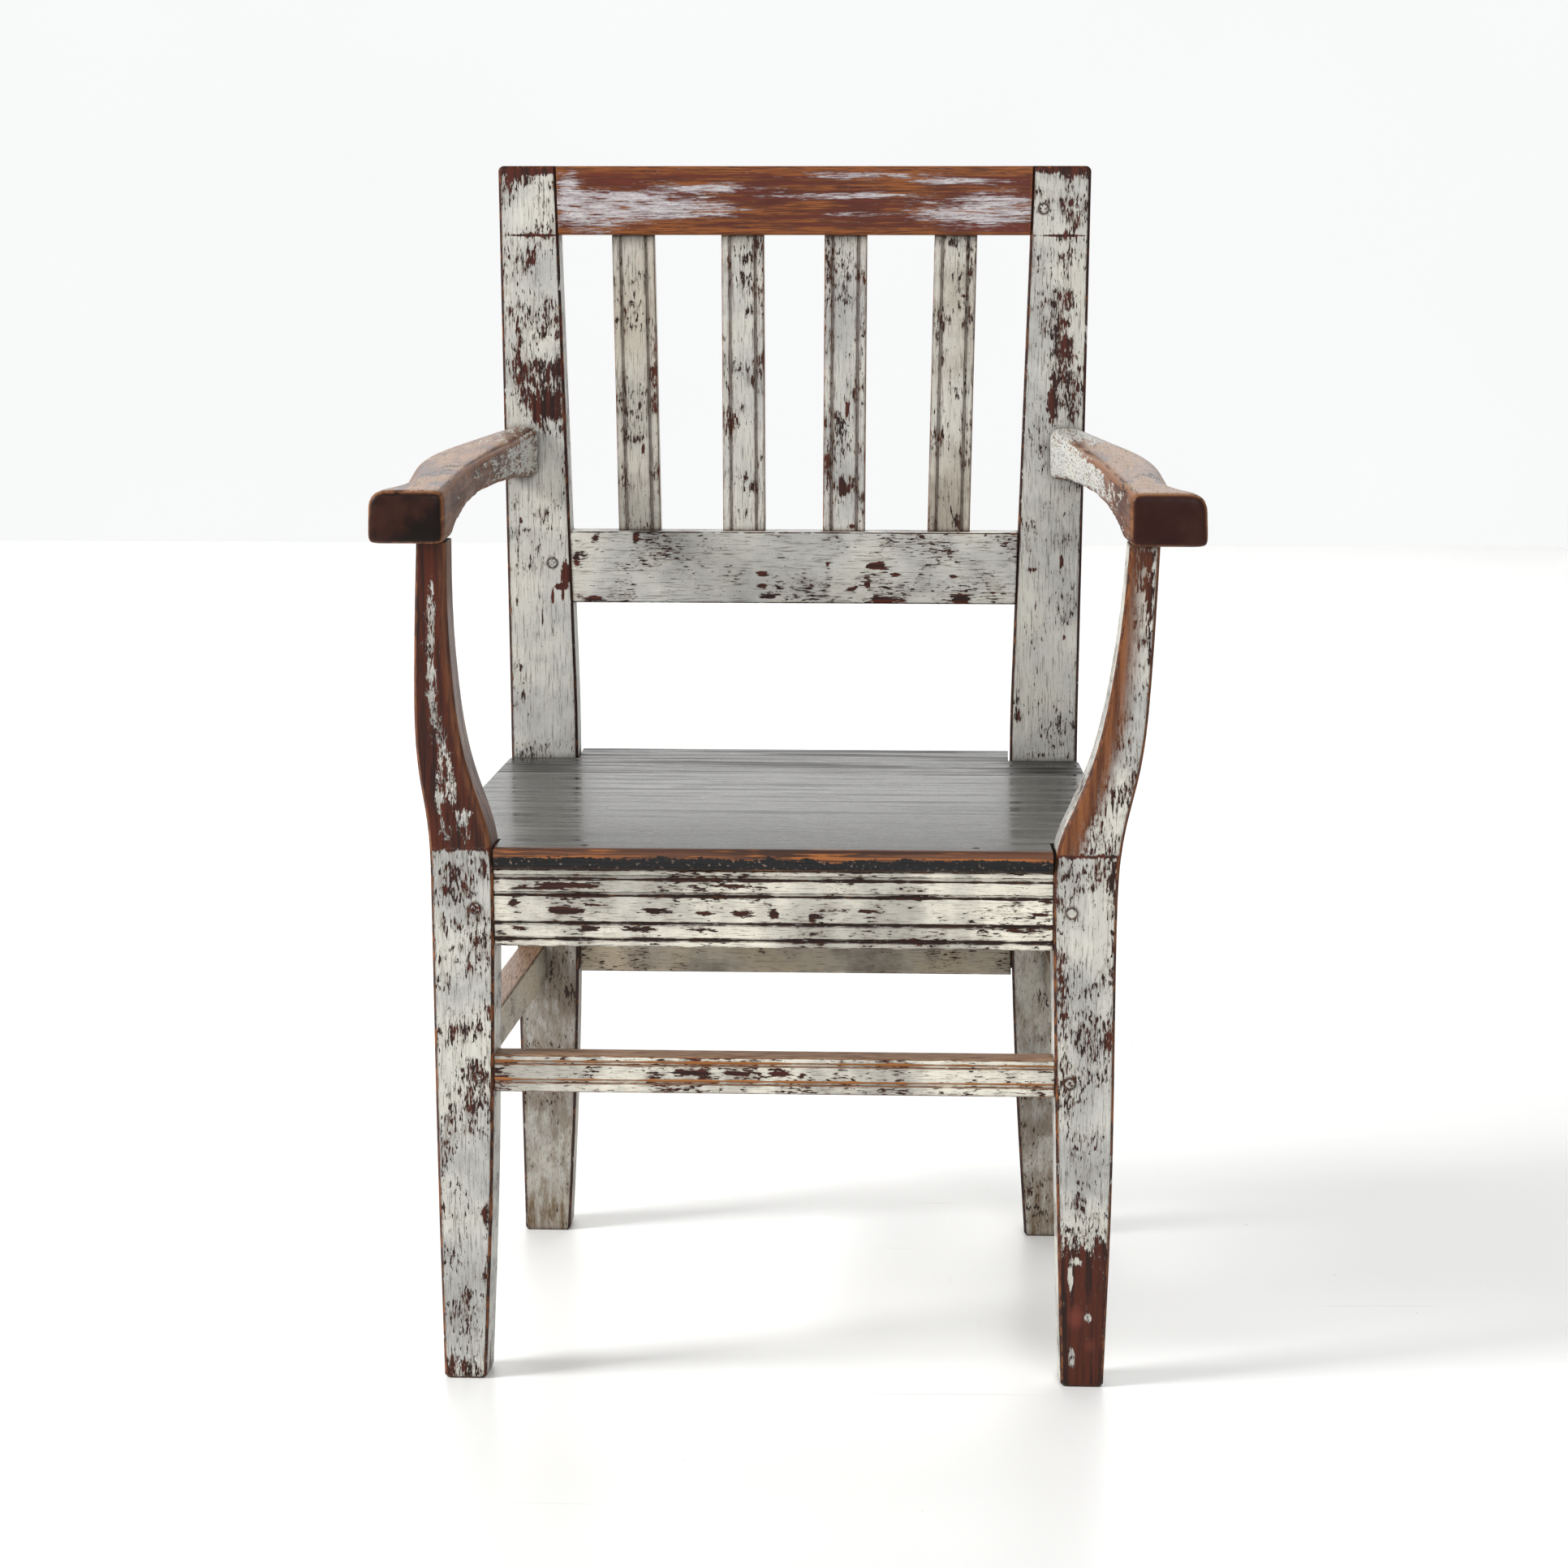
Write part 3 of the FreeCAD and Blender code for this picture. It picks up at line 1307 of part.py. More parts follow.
leg_pegs = []
for side, sign in sides.items():
    for name, height in (("high", rail_peg_height), ("low", stretcher_peg_height)):
        leg_pegs.append(peg(f"peg_{side}_{name}", leg_peg_x * sign, -peg_proud, height, into_y))
pin_group("leg_pegs", leg_pegs)

back_pegs = []
for side, (x, up) in back_peg_places.items():
    depth, height = raked(-peg_proud, up)
    back_pegs.append(peg(f"peg_back_{side}", x, depth, height, into_rake))
pin_group("back_pegs", back_pegs)

seat_nails = []
for number, (x, y, z) in enumerate(seat_nail_places):
    shaft = whittled(
        f"nail_shaft_{number}", nail_facets, nail_shank_radius, nail_length - peg_gap, down
    )
    top = whittled(f"nail_head_{number}", peg_facets, nail_radius, nail_head - peg_gap, down)
    for item in (shaft, top):
        bind_base(item, x, y, z)
    nail = doc.addObject("Part::Fuse", f"nail_{number}")
    nail.Base = shaft
    nail.Tool = top
    seat_nails.append(nail)
pin_group("seat_nails", seat_nails)

# Checks of the finished document, then one file for each piece
doc.recompute()
for thing in doc.Objects:
    if "Invalid" in thing.State or "Error" in thing.State:
        raise SystemExit(f"{thing.Name} failed: {thing.State}")
for piece in pieces:
    shape = piece.Shape
    if shape.isNull() or not shape.isValid():
        raise SystemExit(f"{piece.Label} has no valid shape")
    count = len(shape.Solids)
    print(piece.Label, count, round(shape.Volume), shape.BoundBox)
    shape.exportStep(f"parts/{piece.Label}.step")
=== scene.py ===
import math
from types import SimpleNamespace

import bpy
from mathutils import Matrix, Vector

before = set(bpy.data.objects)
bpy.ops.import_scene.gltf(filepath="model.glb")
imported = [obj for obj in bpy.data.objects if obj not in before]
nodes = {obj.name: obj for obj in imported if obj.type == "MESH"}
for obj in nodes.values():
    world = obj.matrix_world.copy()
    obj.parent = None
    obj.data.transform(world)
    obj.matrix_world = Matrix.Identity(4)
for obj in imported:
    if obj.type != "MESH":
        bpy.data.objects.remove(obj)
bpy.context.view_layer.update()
scene = bpy.context.scene

# Camera: place and angles fitted to the photograph's corners
camera_place = Vector((0.1083, -2.2708, 0.8174))
pitch, yaw, roll = (math.radians(angle) for angle in (12.69, -2.95, -0.23))
focal_pixels = 5086.31
image_pixels = 1932.0
sensor_width = 36.0


def make_camera():
    ahead = Vector(
        (math.sin(yaw) * math.cos(pitch), math.cos(yaw) * math.cos(pitch), -math.sin(pitch))
    )
    side = Vector((math.cos(yaw), -math.sin(yaw), 0.0))
    up = side.cross(ahead)
    right = side * math.cos(roll) + up * math.sin(roll)
    top = up * math.cos(roll) - side * math.sin(roll)
    data = bpy.data.cameras.new("camera")
    data.sensor_width = sensor_width
    data.lens = sensor_width * focal_pixels / image_pixels
    data.clip_start = 0.05
    data.clip_end = 100.0
    camera = bpy.data.objects.new("camera", data)
    turn = Matrix((right, top, -ahead)).transposed().to_4x4()
    camera.matrix_world = Matrix.Translation(camera_place) @ turn
    scene.collection.objects.link(camera)
    scene.camera = camera


# How far one seed moves a material's noises along x, y and z, and how large a mark's full
# middle is, in half widths
seed_steps = (0.37, 0.61, 0.83)
mark_core = 0.1
mm_per_metre = 1000.0


class Shader:
    """One material's node tree, built by short calls that return output sockets."""

    def __init__(self, name, seed=0):
        self.material = bpy.data.materials.new(name)
        self.material.use_nodes = True
        self.tree = self.material.node_tree
        self.tree.nodes.clear()
        self.place = self.node("TexCoord").outputs["Object"]
        self.flat = self.node("NewGeometry").outputs["Normal"]
        self.y, self.z = self.split(self.place)[1:]
        self.flat_x, self.flat_y, self.flat_z = self.split(self.flat)
        self.shift = tuple(seed * step for step in seed_steps)

    def node(self, kind, values=None, **settings):
        made = self.tree.nodes.new(f"ShaderNode{kind}")
        for key, setting in settings.items():
            setattr(made, key, setting)
        for key, value in (values or {}).items():
            if isinstance(value, bpy.types.NodeSocket):
                self.tree.links.new(value, made.inputs[key])
            else:
                made.inputs[key].default_value = value
        return made

    def math(self, operation, *values):
        return self.node("Math", dict(enumerate(values)), operation=operation).outputs[0]

    def vector(self, operation, *values):
        return self.node("VectorMath", dict(enumerate(values)), operation=operation)

    def split(self, vector):
        return tuple(self.node("SeparateXYZ", {0: vector}).outputs)

    def chain(self, operation, terms):
        total = terms[0]
        for term in terms[1:]:
            total = self.math(operation, total, term)
        return total

    def add(self, *terms):
        return self.chain("ADD", terms)

    def times(self, *terms):
        return self.chain("MULTIPLY", terms)

    def highest(self, *terms):
        return self.chain("MAXIMUM", terms)

    def invert(self, value):
        return self.math("SUBTRACT", 1.0, value)

    def smooth(self, value, low, high, start=0.0, stop=1.0):
        """Ease from start to stop while a value goes from low to high, which may be below low."""
        values = {0: value, 1: low, 2: high, 3: start, 4: stop}
        made = self.node("MapRange", values, interpolation_type="SMOOTHSTEP", clamp=True)
        return made.outputs[0]

    def band(self, value, middle, half, soft):
        """One within a half width of a middle value, fading over a soft distance."""
        distance = self.math("ABSOLUTE", self.math("SUBTRACT", value, middle))
        return self.smooth(distance, half + soft, half)

    def blend(self, factor, first, second, kind="MIX"):
        made = self.node("Mix", data_type="RGBA", blend_type=kind, clamp_factor=True)
        for key, value in ((0, factor), (6, first), (7, second)):
            if isinstance(value, bpy.types.NodeSocket):
                self.tree.links.new(value, made.inputs[key])
            elif key == 0:
                made.inputs[key].default_value = value
            else:
                made.inputs[key].default_value = (*value, 1.0)
        return made.outputs[2]

    def vary(self, colours, value, low, high):
        """The first of two colours where a value is low, the second where it is high."""
        return self.blend(self.smooth(value, low, high), *colours)

    def stain(self, colour, stain, value, low, high, most=1.0):
        """Lay a stain over a colour where a value goes from low to high, up to a share."""
        return self.blend(self.smooth(value, low, high, 0.0, most), colour, stain)

    def shade(self, colour, level):
        """A colour made lighter or darker by a number."""
        grey = self.node("CombineColor", {0: level, 1: level, 2: level})
        return self.blend(1.0, colour, grey.outputs[0], "MULTIPLY")

    def stretch(self, scale, lean=0.0):
        turned = self.node("Mapping", {0: self.place, 1: self.shift, 2: (lean, 0.0, 0.0)})
        return self.node("Mapping", {0: turned.outputs[0], 3: scale}).outputs[0]

    def noise(self, where, scale, detail, rough, warp=0.0):
        values = {
            "Vector": where,
            "Scale": scale,
            "Detail": detail,
            "Roughness": rough,
            "Distortion": warp,
        }
        return self.node("TexNoise", values).outputs["Fac"]

    def away(self, scale, offset):
        """Distance from a mark's middle, in half widths, once the place is scaled and moved."""
        local = self.vector("MULTIPLY_ADD", self.place, scale, offset).outputs[0]
        return self.vector("LENGTH", local).outputs[1]

    def marked(self, total, marks, rim=1.4):
        """Add the marks' amounts to a level, each fading over an ellipse seen from the front."""
        for x, z, half_width, half_height, amount in marks:
            scale = (mm_per_metre / half_width, 0.0, mm_per_metre / half_height)
            length = self.away(scale, (-x / half_width, 0.0, -z / half_height))
            total = self.math("MULTIPLY_ADD", self.smooth(length, rim, mark_core), amount, total)
        return total

    def rounded(self, radius, samples=6):
        return self.node("Bevel", {0: radius}, samples=samples).outputs[0]

    def dot(self, first, second):
        return self.vector("DOT_PRODUCT", first, second).outputs[1]

    def arris(self, radius):
        """How near a point lies to an outer edge: zero on the flat, one on the edge."""
        near = self.invert(self.dot(self.rounded(radius), self.flat))
        longest = self.highest(*self.split(self.vector("ABSOLUTE", self.flat).outputs[0]))
        bevel = self.smooth(longest, 0.93, 0.8)
        return self.highest(self.smooth(near, 0.0, 0.22), bevel)

    def toward(self, radius, direction):
        """How far the rounded normal leans towards a direction, beyond the face's own."""
        lean = self.vector("SUBTRACT", self.rounded(radius, 8), self.flat).outputs[0]
        return self.dot(lean, direction)

    def corner_shade_and_dirt(self, colour, dirt, distance, most):
        """Paint shade, standing also for dirt, into a colour in corners and grooves, where the
        open sky is hidden; the dirt argument is this painted shade's colour.
        """
        made = self.node("AmbientOcclusion", {"Distance": distance}, samples=6, only_local=False)
        hollow = self.smooth(made.outputs["AO"], 0.8, 0.35)
        return self.blend(self.times(hollow, most), colour, dirt)

    def bump(self, height, distance, strength, below=None):
        values = {"Strength": strength, "Distance": distance, "Height": height}
        if below is not None:
            values["Normal"] = below
        return self.node("Bump", values).outputs[0]

    def finish(self, colour, rough, normal, constants):
        values = {"Base Color": colour, "Roughness": rough, "Normal": normal}
        shader = self.node("BsdfPrincipled", {**values, **constants})
        self.node("OutputMaterial", {0: shader.outputs[0]})
        return self.material


# Colours of the chair's paints and woods, written as linear light
pale_paint = (0.61, 0.59, 0.525)
cool_paint = (0.56, 0.56, 0.535)
cream_paint = (0.84, 0.8, 0.68)
leg_paint = (0.66, 0.64, 0.575)
dull_paint = (0.48, 0.4, 0.29)
grey_paint = (0.5, 0.455, 0.38)
line_grey = (0.12, 0.095, 0.07)
oxblood = (0.085, 0.019, 0.011)
foot_oxblood = (0.085, 0.019, 0.009)
deep_oxblood = (0.05, 0.014, 0.009)
dark_oxblood = (0.022, 0.009, 0.007)
foot_blush = (0.25, 0.06, 0.04)
bare_wood = (0.27, 0.09, 0.025)
dark_wood = (0.085, 0.028, 0.012)
pale_wood = (0.4, 0.26, 0.17)
groove_pine = (0.5, 0.2, 0.06)
halo_brown = (0.2, 0.15, 0.105)
dirt_brown = (0.08, 0.055, 0.035)
floor_dirt = (0.14, 0.085, 0.04)
# Colour of the shade and dirt painted into the painted pieces' corners and grooves
hollow_shade_brown = (0.03, 0.02, 0.014)
aged = (dull_paint, grey_paint)
creamy = (cream_paint, pale_paint)

# The posts' wood where hands have rubbed it, light and deep, and a painted highlight along its
# margin
handled_woods = {
    "left": ((0.19, 0.075, 0.034), (0.06, 0.022, 0.014)),
    "right": ((0.27, 0.1, 0.036), (0.1, 0.032, 0.015)),
}
handled_highlight = (0.34, 0.12, 0.04)

# Colours of the top rail
rail_pine = ((0.27, 0.085, 0.022), (0.1, 0.03, 0.012))
rail_red = ((0.125, 0.026, 0.014), (0.055, 0.014, 0.01))
rail_white = ((0.62, 0.59, 0.6), (0.33, 0.28, 0.3))
rail_scratch = (0.5, 0.26, 0.14)
# Colour of the shade and dirt painted into the top rail's corners
rail_hollow_shade = (0.02, 0.01, 0.008)

# Colours of the seat's dark paint, of the painted highlight along its joint, and of its nosing
seat_dark = ((0.03, 0.029, 0.027), (0.1, 0.096, 0.086))
seat_patch = (0.11, 0.11, 0.105)
seat_streak = (0.2, 0.195, 0.18)
seat_pore = (0.01, 0.01, 0.01)
seat_rear_stain = (0.02, 0.018, 0.016)
seat_chip = (0.012, 0.01, 0.009)
seat_spot = (0.012, 0.009, 0.008)
seat_joint_highlight = (0.5, 0.5, 0.48)
# Colour of the shade and dirt painted into the seat's corners
seat_hollow_shade = (0.006, 0.005, 0.004)
nosing_wood = ((0.12, 0.045, 0.022), (0.045, 0.018, 0.011))
nosing_pine = (0.36, 0.12, 0.03)
nosing_black = ((0.003, 0.003, 0.005), (0.2, 0.15, 0.11))

# Colours of the arms
arm_brown = ((0.26, 0.115, 0.055), (0.09, 0.034, 0.018))
# Colour of the painted highlight on the arms' upper faces
arm_red = (0.07, 0.022, 0.015)
arm_top_highlight = (0.42, 0.27, 0.17)
arm_pore = (0.025, 0.011, 0.008)
arm_edge = (0.25, 0.1, 0.04)
arm_end_pale = (0.045, 0.016, 0.011)
arm_end_fleck = (0.2, 0.12, 0.08)
arm_crack = (0.01, 0.006, 0.005)
# Colour of the shade and dirt painted into the arms' corners
arm_hollow_shade = (0.02, 0.012, 0.009)

# Iron and rust of the seat's nails
nail_rust = ((0.02, 0.018, 0.016), (0.09, 0.04, 0.02))

# What differs between the arms: the front end's wood, how strong the painted highlight on top is,
# and where and how much paint is left
arm_choices = {
    "left": SimpleNamespace(
        sign=-1.0,
        end_wood=(0.01, 0.006, 0.005),
        top_highlight_boost=0.0,
        paint_from=-0.1,
        paint_full=0.08,
        inner_paint=0.28,
        rear_paint=0.16,
    ),
    "right": SimpleNamespace(
        sign=1.0,
        end_wood=(0.03, 0.009, 0.007),
        top_highlight_boost=0.07,
        paint_from=-0.15,
        paint_full=0.04,
        inner_paint=0.38,
        rear_paint=0.34,
    ),
}

# Noise scales along each grain: streaks are twenty times as long as they are wide
grain_scales = {
    "x": (0.05, 1.0, 1.0),
    "y": (1.0, 0.05, 1.0),
    "z": (1.0, 1.0, 0.05),
}
no_stretch = (1.0, 1.0, 1.0)

# Worn places of the left leg seen from the front: x, z, half width and half height in
# millimetres, and how much looser the paint is there
leg_left_marks = (
    (-168, 202, 5.1, 15.3, 0.08), (-171, 148, 3.4, 18.7, 0.09), (-180, 271, 8.5, 26.3, 0.03),
    (-163, 290, 2.5, 6.8, 0.14), (-172, 235, 3.8, 11, 0.09), (-162, 212, 2.1, 25.5, 0.07),
    (-182, 202, 2.5, 17, 0.06), (-182, 130, 3.4, 25.5, 0.05), (-179, 12, 12.7, 10.2, 0.1),
    (-166, 65, 2.1, 38.2, 0.08), (-186, 27, 3.4, 21.2, 0.07), (-177, 4, 16, 8, 0.14),
)

# Paint that is left on the left post, in the same terms
post_left_kept = (
    (-188, 436, 2.5, 13.6, 1), (-189, 417, 3.4, 15.3, 1), (-189, 390, 3.4, 17, 1),
    (-187, 366, 4.2, 14.4, 1), (-182, 349, 3.8, 12.7, 1), (-179, 331, 4.2, 12.7, 1),
    (-172, 314, 5.5, 11, 1), (-186, 331, 2.5, 17, 1), (-184, 309, 4.2, 8.5, 1),
)

# Worn places of the right leg, in the same terms
leg_right_marks = (
    (146, 234, 2.5, 25.5, 0.1), (148, 204, 3.4, 29.7, 0.11), (172, 200, 3.8, 17, 0.12),
    (151, 143, 3.4, 25.5, 0.06), (166, 140, 3.8, 5.1, 0.12), (157, 104, 3.8, 9.3, 0.1),
    (173, 288, 2.1, 25.5, 0.07), (173, 243, 2.1, 25.5, 0.09), (169, 125, 5.1, 17, 0.05),
    (158, 89, 12.7, 5.9, 0.06),
)

# Paint that is left on the right foot, in the same terms
foot_flakes = (
    (153, 65, 2.1, 14.4, 1), (154, 17, 2.5, 9.3, 1), (163, 40, 3, 3.4, 1),
    (157, 72, 3.4, 3.4, 1),
)

# Worn places of the right post, the back and the front rails, in the same terms
post_right_marks = (
    (169, 338, 1.7, 5.9, 0.16), (172, 334, 1.3, 5.9, 0.14), (186, 458, 7.6, 14.4, 0.2),
    (182, 373, 5.1, 8.5, 0.06), (174, 358, 6.8, 17, 0.05), (159, 318, 4.2, 8.5, 0.08),
    (184, 419, 3.4, 21.2, 0.05), (190, 436, 3, 40, 0.16),
)
stile_left_marks = (
    (-161, 588, 4.2, 7.5, 0.12), (-163, 636, 10.3, 9.4, 0.08), (-154, 619, 8.5, 14.1, 0.09),
    (-164, 603, 12.2, 2.3, 0.1), (-167, 552, 3.8, 42.3, 0.05), (-168, 521, 7.5, 23.5, 0.09),
    (-154, 519, 10.3, 23.5, 0.09), (-146, 503, 7, 12.2, 0.1), (-161, 501, 8.5, 11.3, 0.06),
    (-145, 533, 3.8, 28.2, 0.09), (-157, 500, 3.8, 11.3, 0.08), (-141, 482, 3.8, 18.8, 0.08),
)
stile_left_chips = (
    (-141, 407, 3.8, 9.4, 0.5), (-149, 394, 1.1, 5.6, 0.5), (-143, 395, 1.2, 5.6, 0.5),
    (-145, 400, 3.8, 2.3, 0.5), (-170, 420, 1.9, 28.2, 0.12), (-170, 392, 1.4, 5.6, 0.2),
    (-155, 380, 0.9, 3.8, 0.3), (-164, 433, 2.3, 1.9, 0.2), (-167, 439, 2.3, 2.8, 0.2),
)
stile_right_marks = (
    (152, 637, 11.3, 3.8, 0.12), (138, 616, 5.6, 10.3, 0.1), (151, 616, 7.5, 14.1, 0.1),
    (147, 602, 7.5, 4.7, 0.16), (147, 580, 5.6, 14.1, 0.07), (151, 585, 3.8, 28.2, 0.07),
    (133, 565, 5.6, 6.6, 0.07), (147, 534, 7.5, 23.5, 0.09), (142, 508, 3.3, 16, 0.22),
    (151, 550, 3.8, 28.2, 0.06), (139, 524, 8.5, 7.5, 0.06),
)
stile_right_chips = (
    (148, 416, 1.4, 3.8, 0.3), (131, 411, 3.8, 1.9, 0.25), (133, 390, 1.2, 4.2, 0.3),
    (150, 372, 1.2, 2.3, 0.3), (134, 354, 1.2, 4.7, 0.3), (122, 337, 3.3, 10.3, 0.18),
    (123, 325, 3.3, 5.6, 0.25), (146, 470, 1.4, 1.4, 0.3), (139, 303, 18.8, 2.3, 0.12),
)
lower_rail_marks = (
    (41, 413, 7, 2.3, 0.4), (52, 408, 2.8, 1.4, 0.35), (85, 407, 3.3, 1.4, 0.3),
    (35, 402, 1.9, 1.9, 0.3), (12, 414, 1.4, 2.3, 0.3), (-15, 415, 4.2, 4.2, 0.12),
    (-26, 408, 4.7, 1.9, 0.3), (-26, 401, 4.2, 1.4, 0.3), (-23, 395, 6.6, 2.3, 0.3),
    (26, 399, 3.8, 2.3, 0.2), (41, 393, 16, 2.3, 0.2), (90, 394, 5.6, 3.3, 0.3),
    (-100, 429, 2.8, 3.8, 0.25), (-124, 428, 2.8, 2.8, 0.2), (-78, 424, 7.5, 4.7, 0.06),
    (-135, 415, 2.3, 4.7, 0.2), (-125, 393, 6.6, 1.9, 0.2), (-83, 396, 6.6, 2.8, 0.08),
    (92, 417, 9.4, 4.7, 0.05), (-45, 406, 37.6, 11.7, 0.02),
)
slat_marks = (
    (-95, 597, 5.6, 2.8, 0.1), (-106, 524, 1.9, 32.9, 0.08), (-96, 533, 2.3, 1.9, 0.2),
    (-96, 480, 1.2, 3.8, 0.3), (-98, 505, 1.4, 3.8, 0.2), (-107, 458, 2.3, 28.2, 0.1),
    (-89, 505, 2.3, 70.4, 0.08), (-46, 487, 2.3, 51.6, 0.1), (-28, 557, 2.3, 28.2, 0.1),
    (-40, 496, 6.6, 18.8, 0.06), (20, 458, 2.3, 6.1, 0.4), (23, 503, 1.4, 5.6, 0.3),
    (12, 468, 2.8, 14.1, 0.14), (25, 466, 1.9, 11.3, 0.1), (13, 534, 1.9, 51.6, 0.1),
    (32, 543, 1.9, 51.6, 0.1), (26, 435, 3.3, 1.9, 0.3), (78, 552, 1.9, 42.3, 0.06),
    (94, 585, 2.3, 14.1, 0.1), (92, 515, 1.9, 23.5, 0.08), (90, 568, 1.4, 1.4, 0.3),
    (78, 478, 1.4, 18.8, 0.12),
)
front_rail_marks = (
    (-120, 280, 23.8, 1.7, 0.3), (-122, 285, 12.7, 1.3, 0.1), (-120, 266, 11, 2.1, 0.35),
    (-147, 270, 3.8, 2.5, 0.3), (-100, 269, 6.8, 0.8, 0.2), (-71, 266, 9.3, 2.1, 0.35),
    (-44, 265, 6.8, 1.3, 0.3), (-24, 265, 7.6, 2.5, 0.35), (-144, 256, 7.6, 1.7, 0.3),
    (-105, 256, 5.9, 1.7, 0.3), (-81, 256, 10.2, 1.7, 0.3), (-48, 256, 10.2, 1.7, 0.25),
    (-7, 265, 2.5, 4.2, 0.2), (15, 264, 3.4, 1.3, 0.25), (13, 263, 2.5, 4.2, 0.2),
    (26, 267, 25.5, 1.1, 0.15), (42, 267, 4.2, 1.1, 0.3), (-30, 280, 10.2, 1.3, 0.2),
    (-135, 278, 18.7, 0.8, 0.3), (78, 275, 38.2, 1.1, 0.14), (138, 273, 5.1, 1.7, 0.3),
    (135, 266, 5.9, 1.3, 0.25), (78, 259, 34, 0.8, 0.14), (69, 251, 4.2, 1.3, 0.2),
    (125, 257, 10.2, 1.3, 0.2),
)
stretcher_marks = (
    (-53, 176, 11, 1.3, 0.35), (-29, 176, 6.8, 1.3, 0.35), (-5, 176, 5.9, 1.3, 0.35),
    (-84, 180, 5.9, 0.8, 0.3), (8, 176, 1.7, 0.8, 0.3), (-123, 183, 12.7, 1.3, 0.1),
    (139, 179, 5.9, 1.3, 0.2),
)

# Brushed white paint that is left on the top rail, in the same terms
top_rail_kept = (
    (-122, 616, 28.2, 11.3, 1), (-96, 622, 51.6, 6.6, 1), (-73, 616, 37.6, 4.7, 1),
    (-54, 630, 32.9, 2.8, 1), (91, 616, 32.9, 8.5, 1), (114, 621, 18.8, 10.3, 1),
    (30, 637, 42.3, 2.3, 1), (86, 634, 28.2, 2.3, 1), (2, 625, 28.2, 1.9, 1),
    (40, 626, 28.2, 1.9, 1), (30, 615, 18.8, 1.4, 1), (-138, 633, 7.5, 6.6, 1),
)

# Broad wear, saw lines and top edges of the back posts, in the same terms
stile_left_wear = (
    (-158, 560, 40, 100, 0.045), (-155, 370, 60, 75, -0.06), (-158, 603, 16, 0.7, 0.3),
    (-165, 490, 30, 16, 0.03), (-158, 642, 30, 4.5, 0.4), (-173, 628, 5, 16, 0.12),
)
stile_right_wear = (
    (150, 550, 30, 100, 0.035), (142, 370, 60, 75, -0.06), (146, 603, 18, 0.7, 0.3),
    (152, 480, 3, 60, 0.06), (148, 642, 30, 4, 0.35), (163, 625, 3, 18, 0.12),
)
left_peg_wear = ((-150, 225, 40, 90, 0.22),)

# Red blushes low on the right foot, in the same terms
foot_blushes = ((156, 40, 5, 8, 1.0), (164, 24, 4, 5, 0.5))

# Dark spots on the seat seen from above: x, y, half width, half depth in millimetres
seat_spots = (
    (-92, 53, 7, 3), (-63, 14, 11, 4), (102, -100, 4, 1.6), (157, 53, 8, 3), (-109, -130, 4, 2),
)

# Places in metres where paint, wear or the seat joint's painted highlight changes: a pair says
# where that begins and ends
foot_bare_height = 0.08
below_seat = (0.29, 0.26)
near_floor = (0.05, 0.0)
rail_upper_edge = (0.6355, 0.639)
rail_lower_edge = (0.6085, 0.604)
seat_joint = 0.0485
rear_board = (0.048, 0.05)
nosing_front = (-0.1352, -0.1362)
nosing_shoulder = (-0.1318, -0.1328)
nosing_top_wood = (0.3048, 0.3052)
nosing_low_wood = (0.2888, 0.2882)
nosing_line_height = 0.2962
arm_end_depth = (-0.128, -0.136)
arm_rear_depth = (0.0, 0.09)
arm_side_height = (0.466, 0.482)
arm_crack_height = 0.4975

# Lengths in metres by which noise moves the edges of paint and wear up, down or aside
post_ragged = 0.004
crease_ragged = 0.006
foot_ragged = 0.05
nosing_chip_ragged = 0.011
nosing_crack_ragged = 0.004
nosing_patch_ragged = 0.004
nosing_low_ragged = 0.002
shoulder_ragged = 0.004
arm_crack_wander = 0.012

# Climb of the arms' crack for each metre towards the back
arm_crack_slope = 0.05

# Half widths of lines in metres, and the softness of their margins
post_soft = 0.0012
crease_half = 0.0006
crease_soft = 0.0009
foot_soft = 0.004
groove_halves = (0.0004, 0.0011)
nosing_line_half = 0.0004
nosing_line_soft = 0.0009
joint_half = 0.0004
joint_soft = 0.0005
arm_crack_half = 0.0002
arm_crack_soft = 0.0004

# How far wear reaches from edges and painted shade and dirt from corners, and the depth of
# relief, in metres
left_post_reach = 0.007
right_post_reach = 0.02
rail_edge_reach = 0.003
corner_shade_reach = 0.006
short_corner_shade_reach = 0.005
edge_radius = 0.0008
paint_relief = 0.00022
grain_relief = 0.00025
seat_relief = 0.00012
wood_relief = 0.0002
rust_relief = 0.0002
floor_relief = 0.0001


def shorter(scales, factor):
    """The same grain with streaks shorter by a factor."""
    return tuple(scale if scale == 1.0 else scale * factor for scale in scales)


def paint_noises(shader, grain, lean):
    """The noises that all painted pieces share, drawn out along the piece's grain."""
    long = grain_scales[grain]
    along = shader.stretch(long, lean)
    even = shader.stretch(no_stretch)
    dashes = shader.noise(shader.stretch(shorter(long, 4.0), lean), 950.0, 3.0, 0.6)
    flakes = shader.noise(shader.stretch(shorter(long, 7.0), lean), 300.0, 8.0, 0.72, 0.15)
    return SimpleNamespace(
        fine=shader.noise(along, 1700.0, 3.0, 0.6),
        wide=shader.noise(along, 300.0, 5.0, 0.62, 0.3),
        dashes=dashes,
        flakes=flakes,
        clusters=shader.noise(even, 42.0, 3.0, 0.6),
        blotches=shader.noise(even, 16.0, 5.0, 0.62),
        pits=shader.noise(even, 1300.0, 2.0, 0.5),
        ragged=shader.add(shader.times(flakes, 1.3), shader.times(dashes, 0.7), -1.0),
    )


def paint_left(shader, noises, marks, rim, broken=0.0):
    """A streaky level that rises where marks say that paint is left on bare ground."""
    streaky = shader.add(
        shader.times(noises.dashes, 2.2),
        shader.times(noises.fine, 1.2),
        shader.times(noises.flakes, 1.3),
        -2.4,
        broken,
    )
    return shader.marked(streaky, marks, rim)


